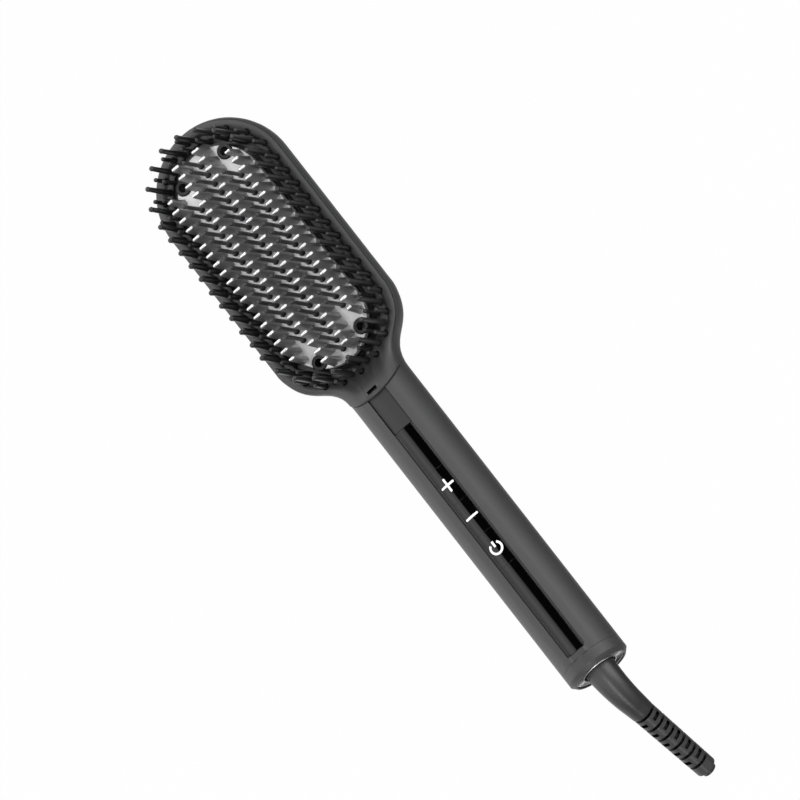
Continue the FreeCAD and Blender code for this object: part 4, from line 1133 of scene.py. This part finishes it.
@dataclass
class EndRing(SubAssembly):
    """Bright ring in the mouth of the end cap, with fine radial ribs."""

    x: Pair = (224.8, 226.5)
    radii: Pair = (8.2, 12.2)
    rib_count: int = 84
    rib_half: float = 0.16
    rib_height: float = 0.35
    rib_shoulder: float = 0.6                           # share of that height at a rib's sides
    rib_sunk: float = 0.1
    rib_margin: float = 0.4
    edge: float = 0.15
    sides: int = 96

    def rib(self) -> bmesh.types.BMesh:
        """One rib, along X in its own frame and rising towards Z."""
        length = (self.radii[1] - self.radii[0]) / 2 - self.rib_margin
        half, shoulder = self.rib_half, self.rib_height * self.rib_shoulder
        section = [(-half, -self.rib_sunk), (-half, shoulder), (0.0, self.rib_height),
                   (half, shoulder), (half, -self.rib_sunk)]
        bm = bmesh.new()
        ends = [[bm.verts.new((x, y, z)) for y, z in section] for x in (-length, length)]
        bridge(bm, *ends)
        bm.faces.new(ends[0])
        bm.faces.new(ends[1])
        return bm

    def build(self) -> None:
        """Build the ring."""
        inner, outer = self.radii
        base, face, e = self.x[0], self.x[1] - self.rib_height, self.edge
        profile = [(inner, base), (outer, base), (outer, self.x[1] - e), (outer - e, self.x[1]),
                   (outer - 2 * e, self.x[1]), (outer - 3 * e, face), (inner + 3 * e, face),
                   (inner + 2 * e, self.x[1]), (inner + e, self.x[1]), (inner, self.x[1] - e)]
        bm = bmesh.new()
        turns = [2 * math.pi * i / self.sides for i in range(self.sides)]
        loops = [[bm.verts.new((x, radius * math.cos(t), radius * math.sin(t))) for t in turns]
                 for radius, x in profile]
        for loop, after in zip(loops, loops[1:] + loops[:1]):
            bridge(bm, loop, after)
        bmesh.ops.recalc_face_normals(bm, faces=bm.faces)
        for vertex in bm.verts:
            vertex.co = Drawing.row(vertex.co)
        finish = RING_METAL.build()
        carrier = shown("end_ring_base", smoothed(bm, bpy.data.meshes.new("end_ring_base")))
        carrier.data.materials.append(finish)
        shapes = ShapeSet("end_rib")
        shapes.add(self.rib())
        ring = around_tree().apply("end_ring_ribbed", carrier, {
            "Shape": shapes.collection.objects[0], "Count": self.rib_count,
            "Radius": (inner + outer) / 2 * MM, "Centre": Drawing.row((face, 0.0, 0.0)),
            "Finish": finish})
        shapes.remove()
        self.fit(ring, "housing", "bright_ring", "end_ring")


class Housing(SubAssembly):
    """Shells, end cap, neck pieces and the tray that carries the plate."""

    def build(self) -> None:
        """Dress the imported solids."""
        self.dress(HOUSING, ("front_shell", "end_cap"))
        self.dress(HANDLE, ("rear_shell",))
        self.dress(INSERT, ("neck_insert",))
        self.dress(VENT, ("neck_vent",))
        self.dress(TRAY, ("plate_tray",))


class Controls(SubAssembly):
    """Gloss strip, its three key caps and their marks."""

    def build(self) -> None:
        """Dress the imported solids."""
        keys = ("plus", "minus", "power")
        self.dress(STRIP, ["control_strip"] + [key + "_key" for key in keys])
        self.dress(MARK, [key + "_mark" for key in keys])


class CordSwivel(SubAssembly):
    """Elbow and strain relief that turn in the end cap."""

    def build(self) -> None:
        """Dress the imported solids."""
        self.dress(ELBOW, ("swivel_elbow",))
        self.dress(RELIEF, ("strain_relief",))


class Inside(SubAssembly):
    """Everything that the housing hides."""

    def build(self) -> None:
        """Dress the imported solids."""
        for finish, nodes in INNER_FINISHES.items():
            self.dress(finish, nodes)


# ---- studio ---------------------------------------------------------------------------------------
@dataclass
class Lamp:
    """Rectangular soft lamp that looks at the object.

    Attributes:
        name: name of the lamp.
        side_deg: direction from the object, turned from straight up towards +Y.
        along_deg: direction from the object, turned from straight up towards +X.
        size: width and height in metres.
        radiance: brightness of its face, where 1 is white.
        distance: metres from the object.
    """

    name: str
    side_deg: float
    along_deg: float
    size: Pair
    radiance: float
    distance: float = 1.6

    def build(self, target: Vector) -> None:
        """Hang the lamp.

        Args:
            target: point that it looks at.
        """
        light = bpy.data.lights.new(self.name, "AREA")
        light.shape = "RECTANGLE"
        light.size, light.size_y = self.size
        light.energy = self.radiance * math.pi * self.size[0] * self.size[1]
        side, along = math.radians(self.side_deg), math.radians(self.along_deg)
        toward = Vector((math.sin(along), math.sin(side) * math.cos(along),
                         math.cos(side) * math.cos(along))).normalized()
        lamp = shown(self.name, light)
        lamp.matrix_world = (Matrix.Translation(target + toward * self.distance)
                             @ toward.to_track_quat("Z", "X").to_matrix().to_4x4())


@dataclass
class Studio:
    """Camera, lamps, white surroundings, pale floor and a graded card over the handle."""

    look_at: Point = (84.5, 6.2, 12.2)
    view_right: Point = (0.5934, 0.7267, -0.3463)
    view_up: Point = (-0.7614, 0.6463, 0.0517)
    camera_distance: float = 13.067
    lens: float = 1400.0
    sensor: float = 36.0
    clip: Pair = (0.1, 100.0)
    floor_gap: float = 0.0015
    floor_half: float = 30.0
    floor_colour: Colour = (0.8, 0.8, 0.8)
    ambient: float = 0.58
    card_x: Pair = (10.0, 190.0)
    card_height: float = 260.0
    card_levels: tuple[Pair, ...] = (    # degrees towards +Y, and brightness
        (-60.0, 0.15), (-50.0, 0.2), (-42.0, 0.6), (-34.0, 1.05), (-26.0, 1.3), (-18.0, 1.0),
        (-13.0, 0.7), (-10.5, 0.0), (12.0, 0.0))
    lamps: tuple[Lamp, ...] = (
        Lamp("key_lamp", 62.0, 8.0, (1.6, 0.75), 2.0),
        Lamp("fill_lamp", -78.0, -6.0, (1.6, 1.2), 0.6),
        Lamp("top_lamp", -22.0, -20.0, (1.2, 0.5), 0.7),
        Lamp("front_lamp", -10.0, 48.0, (1.9, 0.34), 3.4),
    )

    def place_camera(self) -> None:
        """Create the camera at its place."""
        right = Vector(self.view_right).normalized()
        up = Vector(self.view_up)
        up = (up - right * up.dot(right)).normalized()
        back = right.cross(up)
        data = bpy.data.cameras.new("camera")
        data.lens, data.sensor_width = self.lens, self.sensor
        data.clip_start, data.clip_end = self.clip
        camera = shown("camera", data)
        place = Drawing.row(self.look_at) + back * self.camera_distance
        rotation = Matrix((right, up, back)).transposed().to_4x4()
        camera.matrix_world = Matrix.Translation(place) @ rotation
        bpy.context.scene.camera = camera

    def light_world(self) -> None:
        """White surroundings for the camera, graded ones for reflections, and a plain ambient level for
        diffuse rays.
        """
        world = bpy.data.worlds.new("surroundings")
        bpy.context.scene.world = world
        net = ShadeNet(world)
        output = net.node("ShaderNodeOutputWorld")
        rays = net.node("ShaderNodeLightPath").outputs
        plain, white, mirrored = (net.node("ShaderNodeBackground") for _ in range(3))
        for background in (plain, white):
            background.inputs["Color"].default_value = (*WHITE, 1.0)
        plain.inputs["Strength"].default_value = self.ambient
        place = net.node("ShaderNodeTexCoord")
        split = net.node("ShaderNodeSeparateXYZ")
        angle = net.node("ShaderNodeMath", operation="ARCTAN2")
        net.link(place.outputs["Generated"], split.inputs[0])
        net.link(split.outputs["Y"], angle.inputs[0])
        net.link(split.outputs["Z"], angle.inputs[1])
        around = net.ramp(angle.outputs[0], (-math.pi, math.pi),
                          [(degrees / 360.0 + 0.5, level) for degrees, level in ROOM_BRIGHTNESS])
        along = net.ramp(split.outputs["X"], (-1.0, 1.0), [(x / 2.0 + 0.5, level) for x, level in ROOM_ALONG])
        net.link(around, mirrored.inputs["Color"])
        net.link(along, mirrored.inputs["Strength"])
        clear = net.node("ShaderNodeMath", operation="MAXIMUM")
        net.link(rays["Is Camera Ray"], clear.inputs[0])
        net.link(rays["Is Transmission Ray"], clear.inputs[1])
        glossy = net.blend(rays["Is Glossy Ray"], plain, mirrored)
        seen = net.blend(clear.outputs[0], glossy, white)
        net.link(seen.outputs[0], output.inputs["Surface"])

    def plane(self, name: str, corners: Sequence[Vector], material: bpy.types.Material) -> bpy.types.Object:
        """Flat piece of the studio.

        Args:
            name: its name.
            corners: its corners in the row frame, anticlockwise seen from its bright side.
            material: its material.

        Returns:
            The piece, marked as no part of the object.
        """
        mesh = bpy.data.meshes.new(name)
        mesh.from_pydata([tuple(c) for c in corners], [], [tuple(range(len(corners)))])
        mesh.materials.append(material)
        piece = shown(name, mesh)
        piece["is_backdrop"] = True
        return piece

    def lay_floor(self, lowest: float) -> None:
        """Pale floor just under the object, nearly white to the camera, with the object's shadow on it.

        Args:
            lowest: level of the object's lowest point, in metres.
        """
        material = bpy.data.materials.new("pale_floor")
        net = ShadeNet(material)
        output = net.node("ShaderNodeOutputMaterial")
        rays = net.node("ShaderNodeLightPath").outputs
        pale = net.node("ShaderNodeBsdfDiffuse")
        pale.inputs["Color"].default_value = (*self.floor_colour, 1.0)
        share = net.node("ShaderNodeMath", operation="MULTIPLY")
        share.inputs[1].default_value = FLOOR_WHITE
        net.link(rays["Is Camera Ray"], share.inputs[0])
        mixed = net.blend(share.outputs[0], pale, net.node("ShaderNodeEmission"))
        net.link(mixed.outputs[0], output.inputs["Surface"])
        z, far = lowest - self.floor_gap, self.floor_half
        floor = self.plane("floor", [Vector((x, y, z)) for x, y in
                                     ((-far, -far), (far, -far), (far, far), (-far, far))], material)
        floor.visible_glossy = False

    def hang_card(self) -> None:
        """Graded card over the handle that only reflections show, black above the strip's middle."""
        ends = [self.card_height * math.tan(math.radians(degrees)) for degrees, _ in self.card_levels]
        left, right = ends[0], ends[-1]
        stops = [((y - left) / (right - left), level) for y, (_, level) in zip(ends, self.card_levels)]
        material = bpy.data.materials.new("graded_card")
        net = ShadeNet(material)
        output = net.node("ShaderNodeOutputMaterial")
        glow = net.node("ShaderNodeEmission")
        place = net.node("ShaderNodeTexCoord")
        split = net.node("ShaderNodeSeparateXYZ")
        net.link(place.outputs["Object"], split.inputs[0])
        net.link(net.ramp(split.outputs["Y"], (left * MM, right * MM), stops), glow.inputs["Color"])
        net.link(glow.outputs[0], output.inputs["Surface"])
        x0, x1 = self.card_x
        corners = [Drawing.row((x, y, self.card_height)) for x, y in
                   ((x0, left), (x0, right), (x1, right), (x1, left))]
        card = self.plane("card", corners, material)
        for ray in ("camera", "diffuse", "shadow", "transmission"):
            setattr(card, f"visible_{ray}", False)

    def build(self, lowest: float) -> None:
        """Set up the studio.

        Args:
            lowest: level of the object's lowest point, in metres.
        """
        bpy.context.scene.view_settings.view_transform = "Standard"
        self.place_camera()
        self.light_world()
        for lamp in self.lamps:
            lamp.build(Drawing.row(self.look_at))
        self.lay_floor(lowest)
        self.hang_card()


def main() -> None:
    """Dress and build every piece, then the studio."""
    logging.basicConfig(level=logging.INFO, format="%(name)s: %(message)s")
    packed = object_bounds()
    plate = HeatingPlate()
    plate.build()
    InnerBristles().build(plate)
    RimBristles().build()
    Housing().build()
    Controls().build()
    EndRing().build()
    CordSwivel().build()
    Inside().build()
    Studio().build(packed[0].z)


if __name__ == "__main__":
    main()
